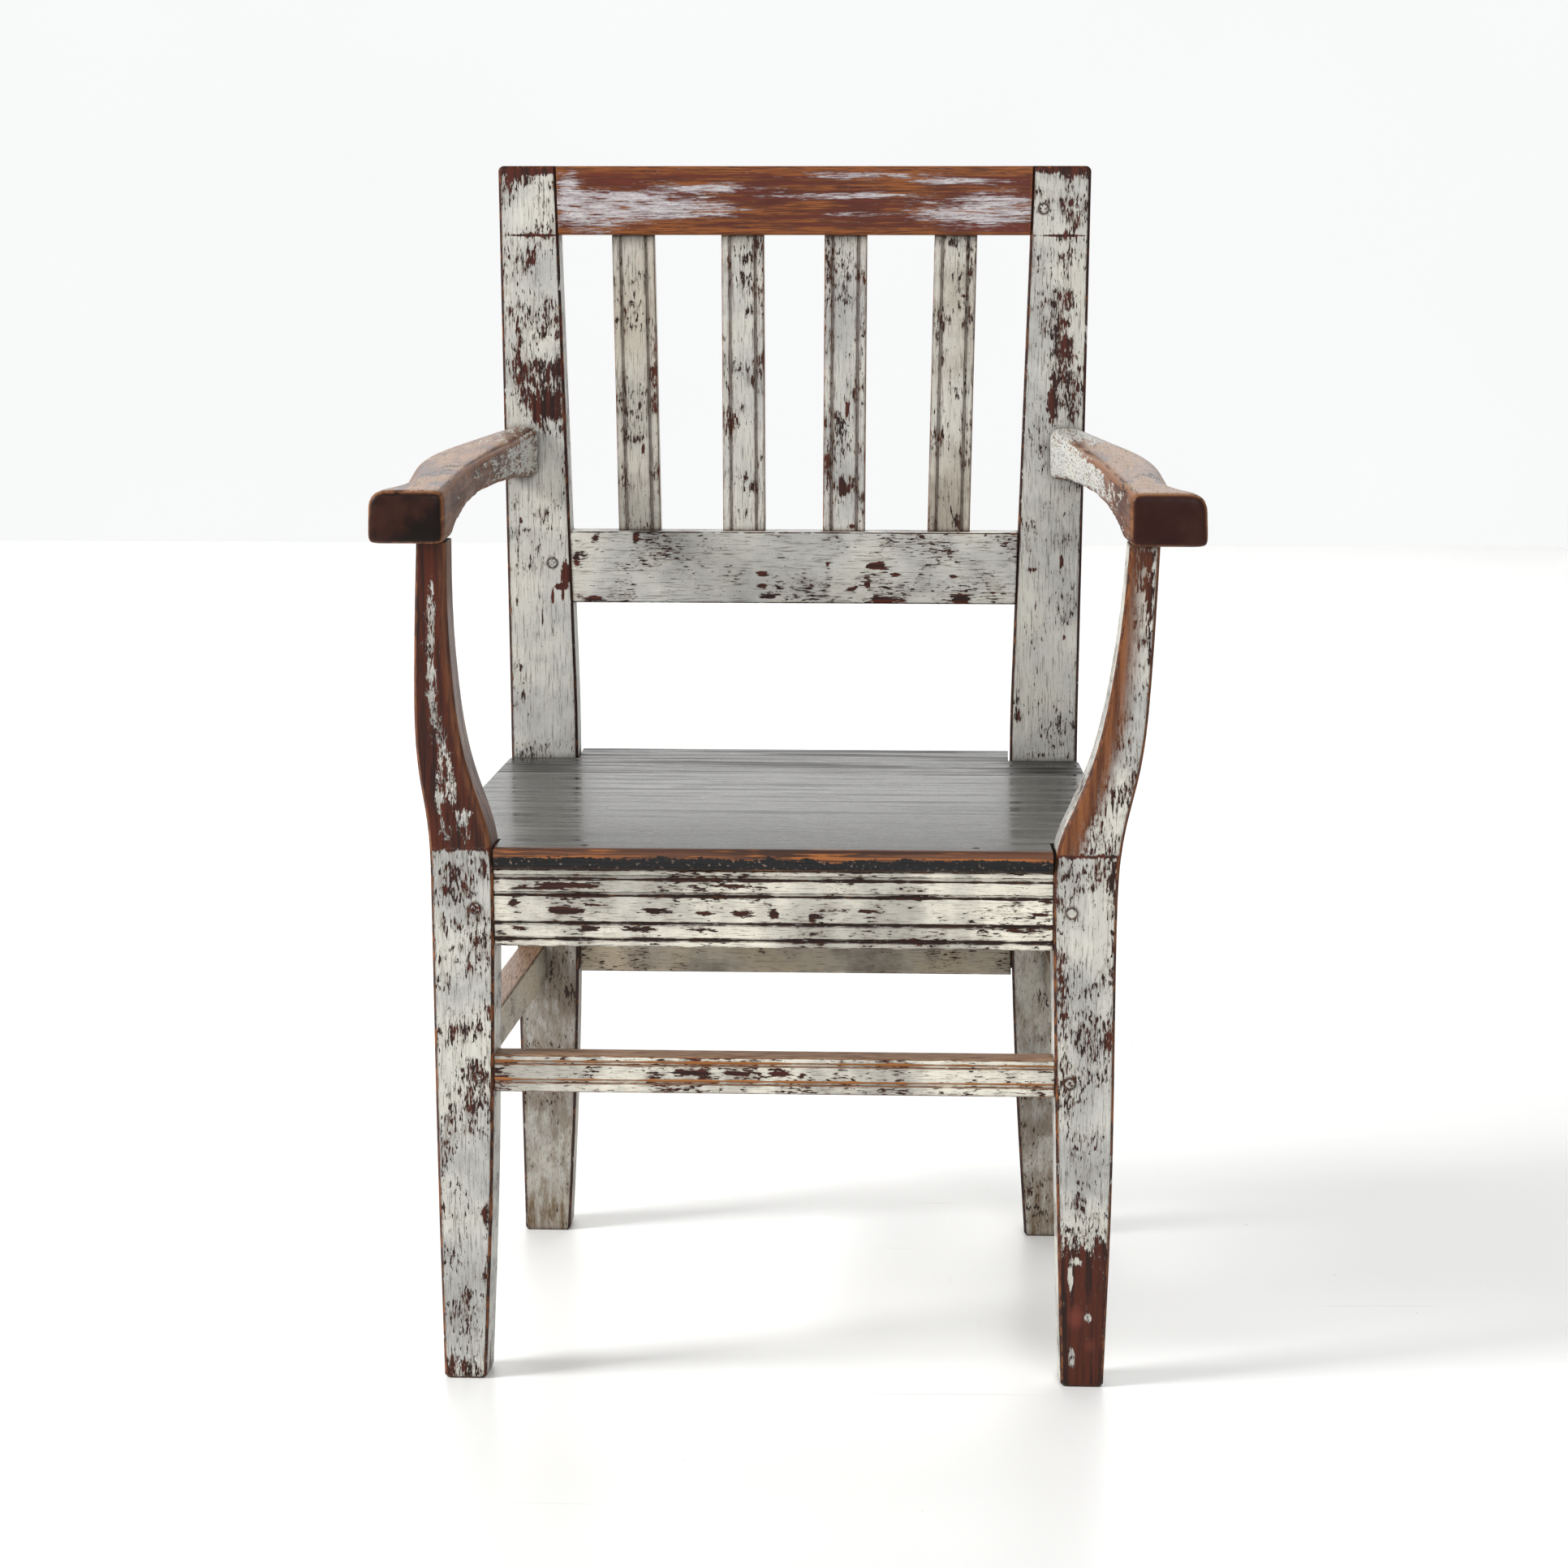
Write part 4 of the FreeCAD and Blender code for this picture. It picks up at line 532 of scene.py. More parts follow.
def post_wear(shader, noises, side, start):
    """Where an arm post has lost its paint, and where hands have rubbed it down to wood."""
    level = shader.add(shader.z, shader.times(noises.ragged, post_ragged))
    above = shader.smooth(level, start, start + post_soft)
    if side == "left":
        broken = shader.add(
            shader.times(shader.add(noises.flakes, -0.5), 3.0),
            shader.times(shader.add(noises.clusters, -0.5), 1.2),
        )
        kept = paint_left(shader, noises, post_left_kept, 1.5, broken)
        leaning = shader.toward(left_post_reach, (1.0, 0.0, 0.0))
        inner = shader.smooth(shader.add(leaning, shader.times(noises.ragged, 0.25)), 0.15, 0.25)
        rubbed = shader.highest(inner, shader.smooth(shader.flat_x, 0.3, 0.5))
        stripped = shader.highest(shader.smooth(kept, 0.8, 0.7), rubbed)
    else:
        leaning = shader.toward(right_post_reach, (-1.0, 0.0, 0.0))
        inner = shader.add(leaning, shader.times(noises.ragged, 0.09))
        rubbed = shader.smooth(inner, 0.06, 0.1)
        stripped = shader.smooth(inner, 0.006, 0.014)
    crease_level = shader.add(shader.z, shader.times(noises.ragged, crease_ragged))
    crease = shader.band(crease_level, start, crease_half, crease_soft)
    return shader.highest(shader.times(above, stripped), crease), shader.times(above, rubbed)


def foot_wear(shader, noises):
    """The front of the right foot, bare up to a ragged line but for a few flakes."""
    level = shader.add(shader.z, shader.times(noises.ragged, foot_ragged))
    low = shader.smooth(level, foot_bare_height + foot_soft, foot_bare_height)
    front = shader.smooth(shader.flat_y, 0.0, -0.5)
    kept = paint_left(shader, noises, foot_flakes, 1.2)
    return shader.times(low, front, shader.smooth(kept, 0.5, 0.38))


def groove_wear(shader, noises, heights):
    """Thin uneven lines along a rail's cut grooves, on its front alone."""
    half = shader.smooth(noises.clusters, 0.35, 0.65, *groove_halves)
    worn = 0.0
    for height in heights:
        above = shader.math("SUBTRACT", shader.z, height / mm_per_metre)
        offset = shader.math("ABSOLUTE", above)
        line = shader.smooth(shader.math("DIVIDE", offset, half), 1.3, 0.7)
        worn = shader.highest(worn, line)
    front = shader.smooth(shader.flat_y, 0.2, -0.2)
    return shader.times(worn, front, shader.smooth(noises.ragged, -0.3, -0.1))


def top_coat(shader, noises, tints, flaking, dirt, low_dirt):
    """The pale paint's own colour: brushed, cracked along the grain, dirty and stained."""
    paint = shader.vary(tints, noises.blotches, 0.38, 0.62)
    paint = shader.shade(paint, shader.smooth(noises.wide, 0.25, 0.75, 0.88, 1.08))
    paint = shader.stain(paint, line_grey, noises.fine, 0.52, 0.68, 0.7)
    paint = shader.stain(paint, halo_brown, flaking, 0.54, 0.68, 0.45)
    paint = shader.stain(paint, dirt_brown, noises.pits, 0.68, 0.72, 0.75)
    grime = shader.add(
        noises.blotches, shader.times(noises.clusters, 0.4), shader.times(noises.wide, 0.3)
    )
    paint = shader.stain(paint, dirt_brown, grime, 0.75, 1.05, dirt)
    if low_dirt:
        level = shader.add(noises.wide, noises.blotches, shader.times(noises.clusters, 0.6))
        stains = shader.smooth(level, 1.05, 1.5, 0.12, 0.7)
        low = shader.times(shader.smooth(shader.z, *below_seat), stains)
        lowest = shader.times(shader.smooth(shader.z, *near_floor), noises.wide, 0.7)
        paint = shader.blend(shader.add(low, lowest), paint, floor_dirt)
    return paint


def handled_wood(shader, noises, side, rubbed):
    """Wood that hands have polished, with a painted highlight along its margin."""
    wood = shader.vary(handled_woods[side], noises.wide, 0.35, 0.65)
    # A painted highlight along the margin of the rubbed wood
    margin_highlight = shader.times(shader.band(rubbed, 0.45, 0.1, 0.25), 0.7)
    return shader.blend(margin_highlight, wood, handled_highlight)


def chair_paint(
    name,
    grain,
    seed,
    marks,
    lean=0.0,
    loss=0.0,
    dash_loss=0.0,
    wear=0.0,
    edge_reach=0.0022,
    bare=-0.62,
    tints=(pale_paint, cool_paint),
    primer=oxblood,
    dirt=0.35,
    low_dirt=False,
    shadow=0.65,
    grooves=(),
    groove_bare=0.0,
    top_bare=None,
    post=None,
    foot=False,
):
    """Brushed pale paint over oxblood primer over pine, worn off along edges and grain."""
    shader = Shader(name, seed)
    noises = paint_noises(shader, grain, lean)
    edge = shader.arris(edge_reach)

    # How loose the paint is, over the whole piece and in named places
    loose = shader.smooth(noises.clusters, 0.36, 0.66, -0.1, 0.07)
    loose = shader.marked(shader.add(loose, loss), marks)

    # Where the paint has gone
    stripped, rubbed = post_wear(shader, noises, *post) if post else (0.0, 0.0)
    if foot:
        stripped = shader.highest(stripped, foot_wear(shader, noises))
    worn_grooves = groove_wear(shader, noises, grooves) if grooves else 0.0
    uneven = shader.times(shader.add(noises.clusters, -0.5), 1.5)
    edge_level = shader.add(
        shader.times(edge, 0.8), shader.times(noises.ragged, 1.5), uneven, wear
    )
    flaking = shader.add(noises.flakes, loose)
    dashing = shader.add(noises.dashes, loose, dash_loss)
    gone = shader.highest(
        shader.smooth(flaking, 0.675, 0.688),
        shader.smooth(dashing, 0.62, 0.65),
        shader.smooth(edge_level, 0.52, 0.58),
        worn_grooves,
        stripped,
    )

    # Where even the primer has gone and pine shows, and the pine's colour
    pine_level = shader.add(edge, shader.times(noises.ragged, 1.4), bare)
    pine_shown = shader.highest(shader.smooth(pine_level, 0.45, 0.65), rubbed)
    pine = shader.vary((bare_wood, dark_wood), noises.fine, 0.35, 0.65)
    if groove_bare:
        pine_shown = shader.highest(pine_shown, shader.times(worn_grooves, groove_bare))
        pine = shader.blend(worn_grooves, pine, groove_pine)
    if post:
        pine = shader.blend(rubbed, pine, handled_wood(shader, noises, post[0], rubbed))
    if top_bare:
        facing_up = shader.add(shader.flat_z, shader.times(noises.ragged, 0.6))
        gone = shader.highest(gone, shader.smooth(facing_up, 0.6, 0.75))
        top = shader.smooth(shader.flat_z, 0.55, 0.8)
        planed = shader.vary((top_bare, dark_wood), noises.fine, 0.35, 0.7)
        pine = shader.blend(top, pine, planed)
        pine_shown = shader.highest(pine_shown, top)

    # The primer, darkest in the small flakes
    under = shader.vary((primer, dark_oxblood), noises.wide, 0.4, 0.62)
    small = shader.times(shader.smooth(loose, 0.15, 0.04, 0.0, 0.85), shader.invert(stripped))
    under = shader.blend(small, under, dark_oxblood)

    # All layers together
    paint = top_coat(shader, noises, tints, flaking, dirt, low_dirt)
    colour = shader.blend(gone, paint, shader.blend(pine_shown, under, pine))
    if foot:
        blush = shader.marked(0.0, foot_blushes, 1.2)
        colour = shader.blend(shader.times(blush, stripped, 0.5), colour, foot_blush)
    # Painted shade, standing also for dirt, in corners and grooves, as strong as shadow says
    colour = shader.corner_shade_and_dirt(colour, hollow_shade_brown, corner_shade_reach, shadow)
    rough = shader.smooth(gone, 0.0, 1.0, 0.48, 0.42)
    rough = shader.add(rough, shader.smooth(noises.wide, 0.3, 0.7, -0.06, 0.06))
    if post:
        rough = shader.add(rough, shader.times(rubbed, -0.12))
    rounded = shader.rounded(edge_radius, 4)
    normal = shader.bump(shader.invert(gone), paint_relief, 0.9, rounded)
    texture = shader.add(shader.times(noises.fine, 0.5), shader.times(noises.wide, 0.9))
    normal = shader.bump(texture, grain_relief, 0.55, normal)
    return shader.finish(colour, rough, normal, {"IOR": 1.3})


def top_rail_paint(name, seed, lean):
    """Oxblood and bare pine streaks, with brushed white paint left towards both ends."""
    shader = Shader(name, seed)
    along = shader.stretch((0.045, 1.0, 1.0), lean)
    fine = shader.noise(along, 1500.0, 4.0, 0.62)
    wide = shader.noise(along, 300.0, 5.0, 0.65, 0.5)
    strokes = shader.noise(shader.stretch((0.1, 1.0, 1.0), lean), 420.0, 8.0, 0.72, 0.4)
    dashes = shader.noise(shader.stretch((0.2, 1.0, 1.0), lean), 900.0, 4.0, 0.65)
    patches = shader.noise(shader.stretch(no_stretch), 30.0, 4.0, 0.6)
    scratches = shader.noise(shader.stretch((1.0, 1.0, 0.12)), 260.0, 2.0, 0.4)

    # White paint, full in the strokes' middles and thin at their margins
    kept = shader.math("MINIMUM", shader.marked(0.0, top_rail_kept, 1.7), 1.0)
    level = shader.add(
        strokes,
        shader.times(dashes, 0.8),
        shader.times(fine, 0.9),
        -1.35,
        shader.times(kept, 0.42),
    )
    white = shader.smooth(level, 0.33, 0.385, 0.0, 0.92)
    thin = shader.smooth(level, 0.2, 0.36, 0.0, 0.4)
    paint = shader.vary(rail_white, dashes, 0.4, 0.7)

    # Pine along the upper and lower edges, oxblood between
    pine_level = shader.add(
        wide,
        shader.smooth(shader.z, *rail_upper_edge, 0.0, 0.16),
        shader.smooth(shader.z, *rail_lower_edge, 0.0, 0.12),
        shader.times(shader.arris(rail_edge_reach), 0.25),
        shader.times(patches, 0.25),
    )
    red = shader.vary(rail_red, wide, 0.35, 0.6)
    red = shader.stain(red, dark_oxblood, fine, 0.58, 0.72, 0.6)
    pine = shader.vary(rail_pine, fine, 0.4, 0.62)
    wood = shader.vary((red, pine), pine_level, 0.57, 0.74)

    colour = shader.blend(shader.highest(white, thin), wood, paint)
    colour = shader.stain(colour, rail_scratch, scratches, 0.8, 0.83, 0.7)
    # Painted shade, standing also for dirt, in the rail's corners
    colour = shader.corner_shade_and_dirt(colour, rail_hollow_shade, short_corner_shade_reach, 0.6)
    rough = shader.smooth(white, 0.0, 1.0, 0.36, 0.5)
    height = shader.add(white, shader.times(wide, 0.8), shader.times(fine, 0.4))
    normal = shader.bump(height, paint_relief, 0.7, shader.rounded(edge_radius, 4))
    return shader.finish(colour, rough, normal, {"IOR": 1.33})


def nosing_paint(shader, noises):
    """The seat's front edge: brown wood above and below a band of crazed black paint."""
    height = shader.add(
        shader.z,
        shader.times(noises.chips, nosing_chip_ragged),
        shader.times(noises.cracks, nosing_crack_ragged),
        shader.times(noises.patches, nosing_patch_ragged),
    )
    upper = shader.smooth(height, *nosing_top_wood)
    lower_level = shader.add(shader.z, shader.times(noises.wide, -nosing_low_ragged))
    lower = shader.smooth(lower_level, *nosing_low_wood)
    line = shader.band(shader.z, nosing_line_height, nosing_line_half, nosing_line_soft)
    pine_level = shader.add(
        noises.fine, shader.times(line, 0.12), shader.times(noises.patches, 0.5)
    )
    wood = shader.vary(nosing_wood, noises.wide, 0.35, 0.6)
    wood = shader.stain(wood, nosing_pine, pine_level, 0.8, 0.95)
    flecks = shader.highest(
        shader.smooth(noises.cracks, 0.62, 0.66), shader.smooth(noises.chips, 0.66, 0.69)
    )
    black = shader.blend(flecks, *nosing_black)
    return wood, shader.blend(shader.highest(upper, lower), black, wood)


def seat_paint(name, seed):
    """Dark satin paint on a boarded seat, rubbed along the grain and worn at the nosing."""
    shader = Shader(name, seed)
    along = shader.stretch((0.03, 1.0, 1.0))
    even = shader.stretch(no_stretch)
    noises = SimpleNamespace(
        fine=shader.noise(along, 900.0, 4.0, 0.6),
        wide=shader.noise(along, 170.0, 4.0, 0.6, 0.6),
        patches=shader.noise(even, 22.0, 4.0, 0.6),
        chips=shader.noise(shader.stretch((0.3, 1.0, 1.0)), 260.0, 7.0, 0.72),
        cracks=shader.noise(even, 520.0, 3.0, 0.6),
    )
    fine, wide = noises.fine, noises.wide

    # The boards' tops: streaks, a rougher rear board, chips, spots and a painted highlight along
    # the joint
    colour = shader.vary(seat_dark, wide, 0.35, 0.65)
    colour = shader.stain(colour, seat_patch, noises.patches, 0.45, 0.75, 0.4)
    colour = shader.stain(colour, seat_streak, fine, 0.52, 0.7, 0.6)
    colour = shader.stain(colour, seat_pore, fine, 0.46, 0.3, 0.8)
    rear = shader.smooth(shader.y, *rear_board)
    stained = shader.times(rear, shader.smooth(wide, 0.45, 0.6))
    colour = shader.blend(stained, colour, seat_rear_stain)
    colour = shader.stain(colour, seat_chip, noises.chips, 0.745, 0.76)
    for x, y, half_width, half_depth in seat_spots:
        scale = (mm_per_metre / half_width, mm_per_metre / half_depth, 0.0)
        length = shader.away(scale, (-x / half_width, -y / half_depth, 0.0))
        level = shader.add(length, shader.times(noises.chips, 1.5))
        colour = shader.stain(colour, seat_spot, level, 1.75, 1.5)
    # A painted highlight along the joint between the boards
    joint_highlight = shader.band(shader.y, seat_joint, joint_half, joint_soft)
    colour = shader.blend(shader.times(joint_highlight, 0.6), colour, seat_joint_highlight)

    # The nosing in front, and its rubbed brown shoulder on top
    wood, band = nosing_paint(shader, noises)
    front = shader.smooth(shader.y, *nosing_front)
    shoulder_level = shader.add(shader.y, shader.times(wide, shoulder_ragged))
    shoulder = shader.smooth(shoulder_level, *nosing_shoulder)
    colour = shader.blend(shoulder, colour, wood)
    colour = shader.blend(front, colour, band)
    # Painted shade, standing also for dirt, in the seat's corners and where it meets other pieces
    colour = shader.corner_shade_and_dirt(colour, seat_hollow_shade, short_corner_shade_reach, 0.6)

    level = shader.add(wide, shader.times(fine, 0.5))
    rough = shader.smooth(shader.smooth(level, 0.6, 0.85), 0.0, 1.0, 0.11, 0.33)
    rear_rough = shader.times(rear, shader.smooth(wide, 0.4, 0.6, 0.05, 0.3))
    rough = shader.add(rough, rear_rough, shader.times(shoulder, 0.4))
    normal = shader.bump(shader.add(wide, shader.times(fine, 0.4)), seat_relief, 0.5)
    return shader.finish(
        colour, rough, normal, {"IOR": 1.45, "Specular Tint": (1.0, 0.97, 0.93, 1.0)}
    )


def arm_wood(name, seed, side):
    """Brown wood polished by hands, near black in front, with paint left towards the back."""
    choice = arm_choices[side]
    shader = Shader(name, seed)
    along = shader.stretch((1.0, 0.06, 1.0))
    fine = shader.noise(along, 1100.0, 4.0, 0.6)
    wide = shader.noise(along, 240.0, 4.0, 0.6, 0.5)
    flakes = shader.noise(shader.stretch((1.0, 0.3, 1.0)), 300.0, 8.0, 0.72, 0.2)
    dashes = shader.noise(shader.stretch((1.0, 0.2, 1.0)), 900.0, 3.0, 0.6)
    patches = shader.noise(shader.stretch(no_stretch), 26.0, 4.0, 0.6)
    smears = shader.noise(shader.stretch((1.0, 0.4, 1.0)), 90.0, 5.0, 0.65)
    up = shader.smooth(shader.flat_z, 0.3, 0.8)
    outward = shader.times(shader.flat_x, choice.sign)
    inward = shader.times(shader.flat_x, -choice.sign)
    near_end = shader.smooth(shader.y, *arm_end_depth)
    end_face = shader.times(shader.smooth(shader.flat_y, -0.55, -0.9), near_end)

    # Rounded edges: between flat and upright faces, and at the front end's upright corners
    tilt = shader.math("ABSOLUTE", shader.flat_z)
    edge = shader.times(shader.smooth(tilt, 0.15, 0.45), shader.smooth(tilt, 0.96, 0.8))
    corner = shader.math("ABSOLUTE", shader.times(shader.flat_x, shader.flat_y))
    edge = shader.highest(edge, shader.times(near_end, shader.smooth(corner, 0.12, 0.35)))

    # The wood: brown and red, with a painted highlight on the upper faces, lighter along the
    # edges
    wood = shader.vary(arm_brown, wide, 0.35, 0.65)
    wood = shader.stain(wood, arm_red, patches, 0.42, 0.62, 0.75)
    # A painted highlight in patches on the faces that look up
    highlight_level = shader.add(smears, shader.times(fine, 0.5), choice.top_highlight_boost)
    top_highlight = shader.times(up, shader.smooth(highlight_level, 0.68, 0.86), 0.8)
    wood = shader.blend(top_highlight, wood, arm_top_highlight)
    wood = shader.stain(wood, arm_pore, fine, 0.53, 0.68, 0.8)
    edge_level = shader.add(
        shader.times(edge, shader.smooth(shader.z, *arm_side_height, 0.45, 1.0)),
        shader.times(shader.add(smears, -0.5), 2.4),
    )
    wood = shader.stain(wood, arm_edge, edge_level, 0.55, 1.0, 0.8)
    end_wood = shader.vary((choice.end_wood, arm_end_pale), patches, 0.4, 0.65)
    end_wood = shader.stain(end_wood, arm_end_fleck, flakes, 0.72, 0.75, 0.3)
    wood = shader.blend(end_face, wood, end_wood)

    # What is left of the paint
    towards_back = shader.smooth(shader.y, choice.paint_from, choice.paint_full)
    inner = shader.times(shader.smooth(inward, 0.4, 0.7), towards_back, choice.inner_paint)
    rear = shader.smooth(shader.y, *arm_rear_depth, 0.0, choice.rear_paint)
    level = shader.add(
        flakes,
        shader.times(dashes, 0.7),
        shader.times(smears, 0.7),
        -0.2,
        inner,
        shader.times(up, rear),
        shader.smooth(outward, 0.4, 0.7, 0.0, 0.16),
        shader.times(edge, -0.16),
        shader.times(end_face, -0.6),
    )
    painted = shader.smooth(level, 1.17, 1.22)
    paint = shader.vary((cool_paint, pale_paint), patches, 0.35, 0.65)
    paint = shader.stain(paint, line_grey, fine, 0.5, 0.68, 0.7)
    paint = shader.stain(paint, dark_oxblood, dashes, 0.6, 0.64, 0.9)
    colour = shader.blend(painted, wood, paint)

    # One wandering crack along the side, only where the patches are high
    crack_level = shader.add(
        shader.z,
        shader.times(shader.add(smears, -0.5), arm_crack_wander),
        shader.times(shader.y, -arm_crack_slope),
    )
    crack = shader.band(crack_level, arm_crack_height, arm_crack_half, arm_crack_soft)
    crack = shader.times(crack, shader.smooth(patches, 0.5, 0.56))
    colour = shader.blend(crack, colour, arm_crack)
    # Painted shade, standing also for dirt, where the arm meets other pieces
    colour = shader.corner_shade_and_dirt(colour, arm_hollow_shade, corner_shade_reach, 0.7)
    rough = shader.smooth(painted, 0.0, 1.0, 0.4, 0.55)
    rough = shader.add(rough, shader.smooth(smears, 0.35, 0.65, -0.06, 0.08))
    height = shader.add(wide, shader.times(fine, 0.4), painted)
    normal = shader.bump(height, wood_relief, 0.5)
    return shader.finish(colour, rough, normal, {"IOR": 1.22})


def nail_iron(name):
    """Dark iron with brown rust."""
    shader = Shader(name)
    rust = shader.noise(shader.place, 900.0, 4.0, 0.6)
    colour = shader.vary(nail_rust, rust, 0.4, 0.6)
    rough = shader.smooth(rust, 0.3, 0.7, 0.45, 0.7)
    normal = shader.bump(rust, rust_relief, 0.7)
    return shader.finish(colour, rough, normal, {"Metallic": 0.6})


def dress(name, material):
    mesh = nodes[name].data
    mesh.materials.clear()
    mesh.materials.append(material)


def soften(name, voxel, rounds):
    """Round a piece's outer corners as hands have done: fine voxels, then smoothing."""
    piece = nodes[name]
    voxels = piece.modifiers.new("voxels", "REMESH")
    voxels.mode = "VOXEL"
    voxels.voxel_size = voxel
    voxels.use_smooth_shade = True
    worn = piece.modifiers.new("worn", "SMOOTH")
    worn.factor = 0.5
    worn.iterations = rounds


def paint(piece, name, grain, seed, marks=(), **look):
    """Dress a piece in a chair paint of its own."""
    dress(piece, chair_paint(name, grain, seed, marks, **look))


def studio_floor_paint():
    shader = Shader("studio_floor")
    scuffs = shader.noise(shader.stretch((0.05, 1.0, 1.0)), 90.0, 3.0, 0.5, 0.4)
    specks = shader.noise(shader.place, 190.0, 1.0, 0.5)
    cloud = shader.noise(shader.place, 3.0, 3.0, 0.5)
    scuffed = shader.highest(
        shader.smooth(scuffs, 0.7, 0.74, 0.0, 0.3), shader.smooth(specks, 0.79, 0.82, 0.0, 0.6)
    )
    colour = shader.vary(floor_whites, cloud, 0.3, 0.7)
    colour = shader.blend(scuffed, colour, floor_scuff)
    rough = shader.smooth(cloud, 0.3, 0.7, 0.29, 0.33)
    normal = shader.bump(specks, floor_relief, 0.1)
    return shader.finish(colour, rough, normal, {"IOR": 1.31})


def studio_wall_paint():
    """An even glow where the wall is seen or mirrored, and matt paint for all other light."""
    shader = Shader("studio_wall")
    path = shader.node("LightPath")
    seen = shader.highest(
        path.outputs["Is Camera Ray"],
        path.outputs["Is Glossy Ray"],
        path.outputs["Is Transmission Ray"],
    )
    cloud = shader.noise(shader.place, 1.2, 3.0, 0.5)
    colour = shader.vary(wall_whites, cloud, 0.3, 0.7)
    plain = shader.node("BsdfDiffuse", {"Color": colour})
    bright = shader.node("Emission", {"Color": colour})
    mixed = shader.node("MixShader", {0: seen, 1: plain.outputs[0], 2: bright.outputs[0]})
    shader.node("OutputMaterial", {0: mixed.outputs[0]})
    return shader.material


def backdrop(name, corners, material):
    mesh = bpy.data.meshes.new(name)
    mesh.from_pydata(corners, [], [(0, 1, 2, 3)])
    mesh.materials.append(material)
    thing = bpy.data.objects.new(name, mesh)
    scene.collection.objects.link(thing)


def make_lamp(name, place, target, width, height, power):
    data = bpy.data.lights.new(name, "AREA")
    data.shape = "RECTANGLE"
    data.size = width
    data.size_y = height
    data.energy = power
    lamp = bpy.data.objects.new(name, data)
    aim = (Vector(target) - Vector(place)).to_track_quat("-Z", "Y")
    lamp.matrix_world = Matrix.Translation(place) @ aim.to_matrix().to_4x4()
    scene.collection.objects.link(lamp)


def studio():
    """A pale floor and wall, a soft key from the left and an even fill."""
    near_left = (-studio_half_width, studio_front, 0.0)
    near_right = (studio_half_width, studio_front, 0.0)
    far_left = (-studio_half_width, wall_depth, 0.0)
    far_right = (studio_half_width, wall_depth, 0.0)
    high_left = (-studio_half_width, wall_depth, wall_height)
    high_right = (studio_half_width, wall_depth, wall_height)
    backdrop("floor", (near_left, near_right, far_right, far_left), studio_floor_paint())
    backdrop("wall", (far_left, high_left, high_right, far_right), studio_wall_paint())
    world = bpy.data.worlds.new("studio_world")
    world.use_nodes = True
    sky = world.node_tree.nodes["Background"]
    sky.inputs[0].default_value = (1.0, 1.0, 1.0, 1.0)
    sky.inputs[1].default_value = sky_strength
    scene.world = world
    for lamp in lamps:
        make_lamp(*lamp)


# The studio in metres and linear light
studio_half_width = 8.0
studio_front = -6.0
wall_depth = 2.68
wall_height = 6.0
floor_whites = ((0.94, 0.94, 0.925), (0.92, 0.92, 0.905))
floor_scuff = (0.6, 0.58, 0.55)
wall_whites = ((0.955, 0.958, 0.96), (0.935, 0.94, 0.942))
sky_strength = 0.37

# Lamps: name, place, target, width and height in metres, power in watts
lamps = (
    ("key", (-2.75, -0.8, 1.9), (0.0, 0.0, 0.25), 0.8, 0.8, 97.0),
    ("front", (0.9, -3.6, 2.4), (0.0, 0.0, 0.3), 2.4, 2.4, 54.0),
    ("back", (0.0, 2.6, 1.45), (0.0, 0.0, 0.4), 3.2, 1.4, 54.0),
)

# How the pieces differ: marks, the height where an arm post's wear starts, looks
leg_marks = {
    "left": leg_left_marks,
    "right": leg_right_marks + post_right_marks,
}
post_starts = {"left": 0.2995, "right": 0.298}
stile_marks = {
    "left": stile_left_marks + stile_left_chips + stile_left_wear,
    "right": stile_right_marks + stile_right_chips + stile_right_wear,
}
slat_middles = (-101, -37, 22, 84)
slat_reach = 20
slat_looks = (
    {"wear": 0.25, "bare": -0.35, "tints": (grey_paint, pale_paint)},
    {"wear": 0.3, "bare": -0.1, "tints": (pale_paint, cool_paint)},
    {"wear": 0.3, "bare": 0.0, "tints": (pale_paint, cool_paint)},
    {"wear": 0.25, "bare": -0.35, "tints": (pale_paint, grey_paint)},
)
plain_old = {"tints": aged, "dirt": 0.7, "top_bare": pale_wood}
back_lean = math.radians(4.96)
arm_voxel = 0.0012
arm_rounds = 46

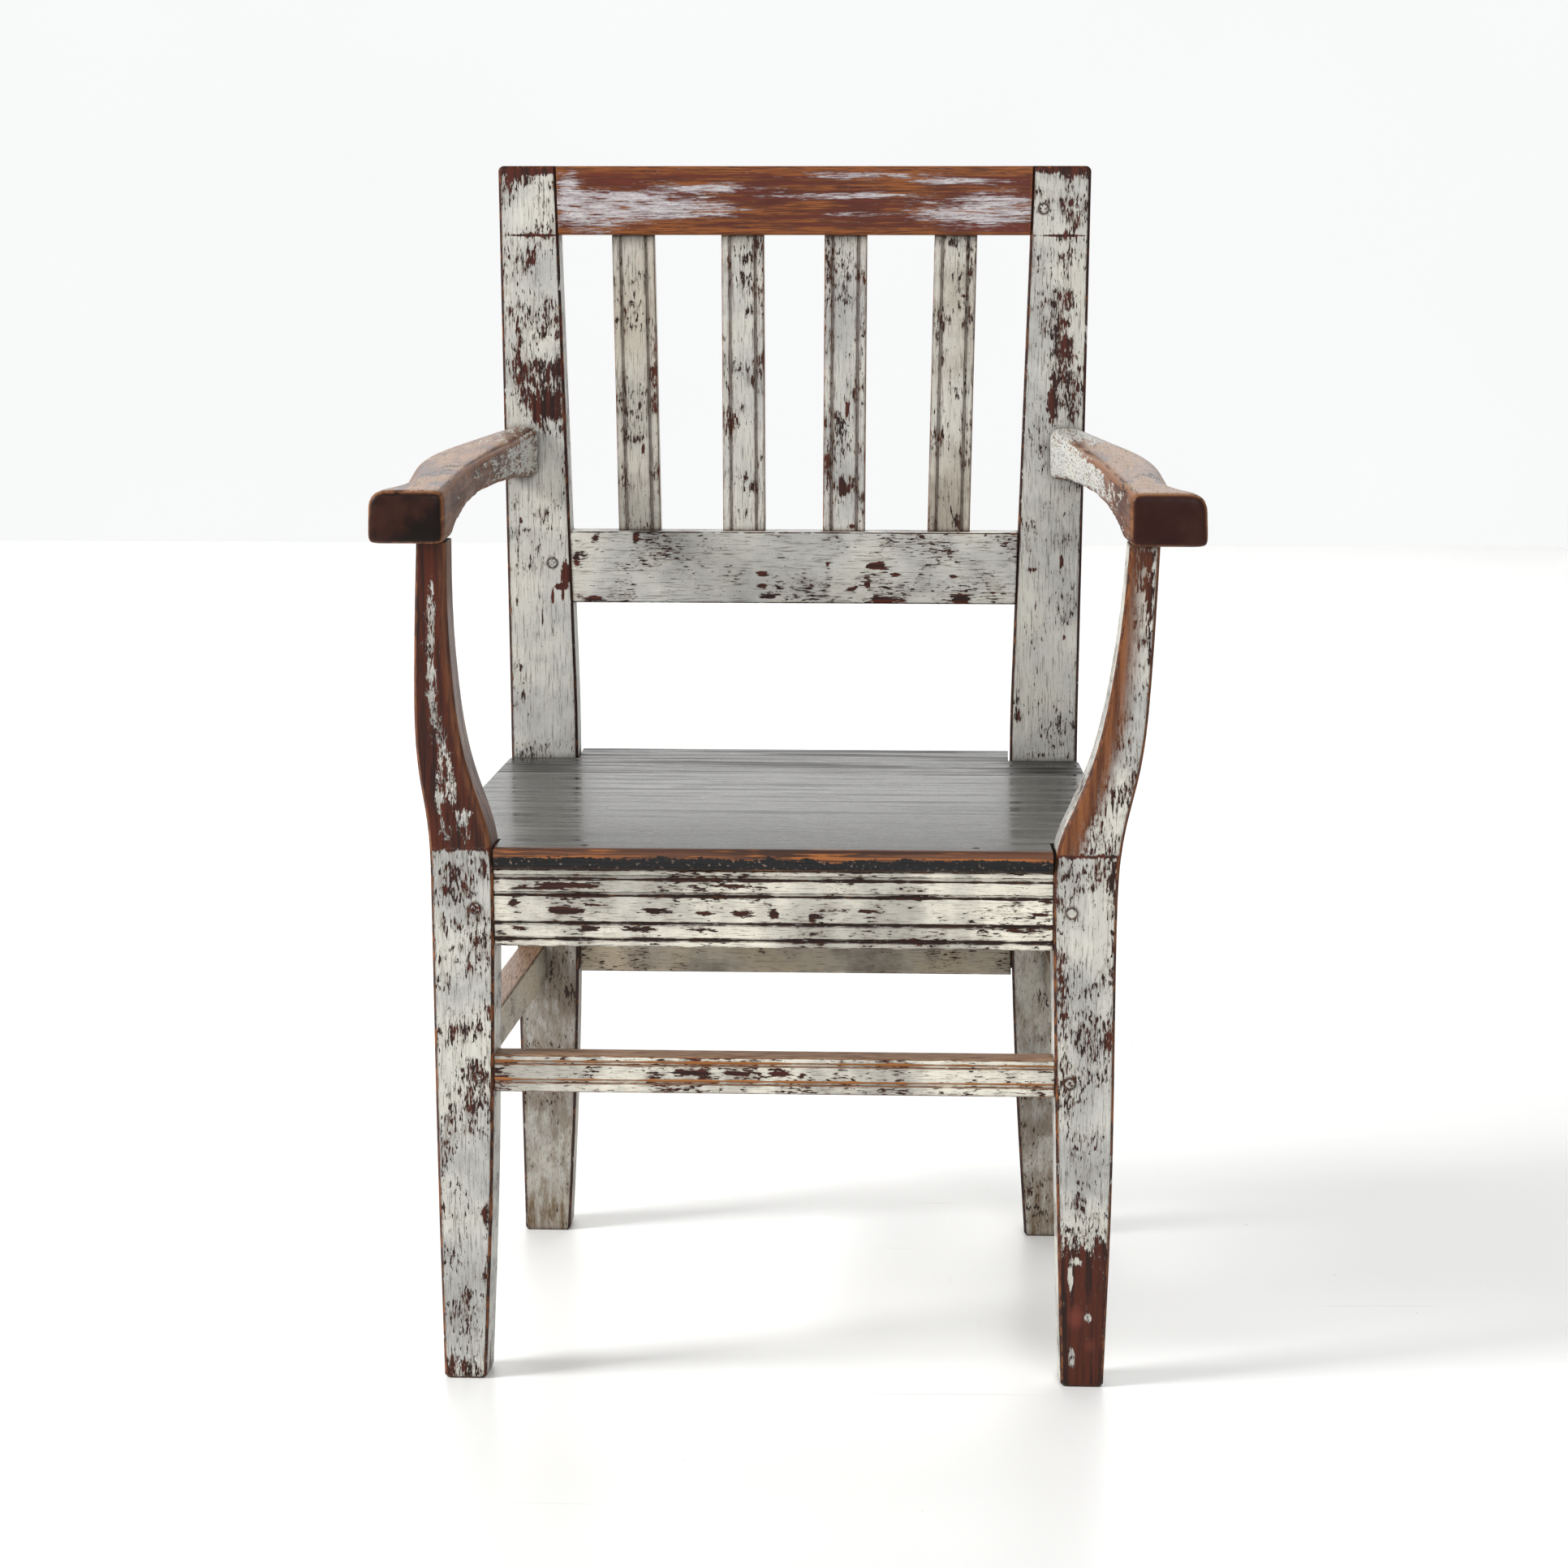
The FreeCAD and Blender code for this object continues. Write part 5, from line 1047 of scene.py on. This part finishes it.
make_camera()
studio()
for number, side in enumerate(("left", "right")):
    paint(
        f"front_leg_{side}",
        f"leg_paint_{side}",
        "z",
        1 + number,
        leg_marks[side],
        post=(side, post_starts[side]),
        foot=side == "right",
        tints=(leg_paint, cool_paint),
        primer=foot_oxblood,
        loss=0.03,
        dash_loss=0.01,
        wear=0.18,
        edge_reach=0.004,
        bare=-0.48,
    )
    paint(
        f"back_stile_{side}",
        f"stile_paint_{side}",
        "z",
        3 + number,
        stile_marks[side],
        lean=back_lean,
        wear=0.16,
        edge_reach=0.0034,
        low_dirt=True,
    )
    paint(
        f"side_seat_rail_{side}", f"side_seat_rail_paint_{side}", "y", 5 + number, **plain_old
    )
    paint(
        f"side_stretcher_{side}", f"side_stretcher_paint_{side}", "y", 7 + number, **plain_old
    )
    dress(f"arm_{side}", arm_wood(f"arm_wood_{side}", 9 + number, side))
    soften(f"arm_{side}", arm_voxel, arm_rounds)
for number, (middle, look) in enumerate(zip(slat_middles, slat_looks), 1):
    paint(
        f"slat_{number}",
        f"slat_paint_{number}",
        "z",
        10 + number,
        tuple(mark for mark in slat_marks if abs(mark[0] - middle) < slat_reach),
        lean=back_lean,
        edge_reach=0.003,
        **look,
    )
dress("top_rail", top_rail_paint("top_rail_paint", 15, back_lean))
paint(
    "lower_back_rail",
    "lower_back_rail_paint",
    "x",
    16,
    lower_rail_marks,
    lean=back_lean,
    loss=0.02,
    edge_reach=0.003,
)
paint(
    "front_seat_rail",
    "front_rail_paint",
    "x",
    17,
    front_rail_marks,
    grooves=(283.2, 274.2, 259.0, 250.0),
    tints=creamy,
    primer=deep_oxblood,
    loss=0.01,
    wear=-0.15,
    edge_reach=0.0012,
    shadow=0.4,
)
paint(
    "front_stretcher",
    "front_stretcher_paint",
    "x",
    18,
    stretcher_marks,
    grooves=(181.6, 171.4),
    groove_bare=0.9,
    tints=creamy,
    loss=0.05,
    wear=0.06,
    edge_reach=0.0016,
    bare=-0.35,
    shadow=0.15,
    top_bare=pale_wood,
)
paint("back_seat_rail", "back_rail_paint", "x", 19, tints=aged, dirt=0.3)
paint("rear_stretcher", "rear_stretcher_paint", "x", 20, **plain_old)
dress("seat_front_board", seat_paint("seat_paint_front", 21))
dress("seat_rear_board", seat_paint("seat_paint_rear", 22))
paint("leg_pegs", "leg_peg_paint", "y", 23, left_peg_wear, loss=0.05)
paint("back_pegs", "back_peg_paint", "y", 24, loss=0.05)
dress("seat_nails", nail_iron("seat_nail_iron"))

scene.view_settings.view_transform = "Standard"
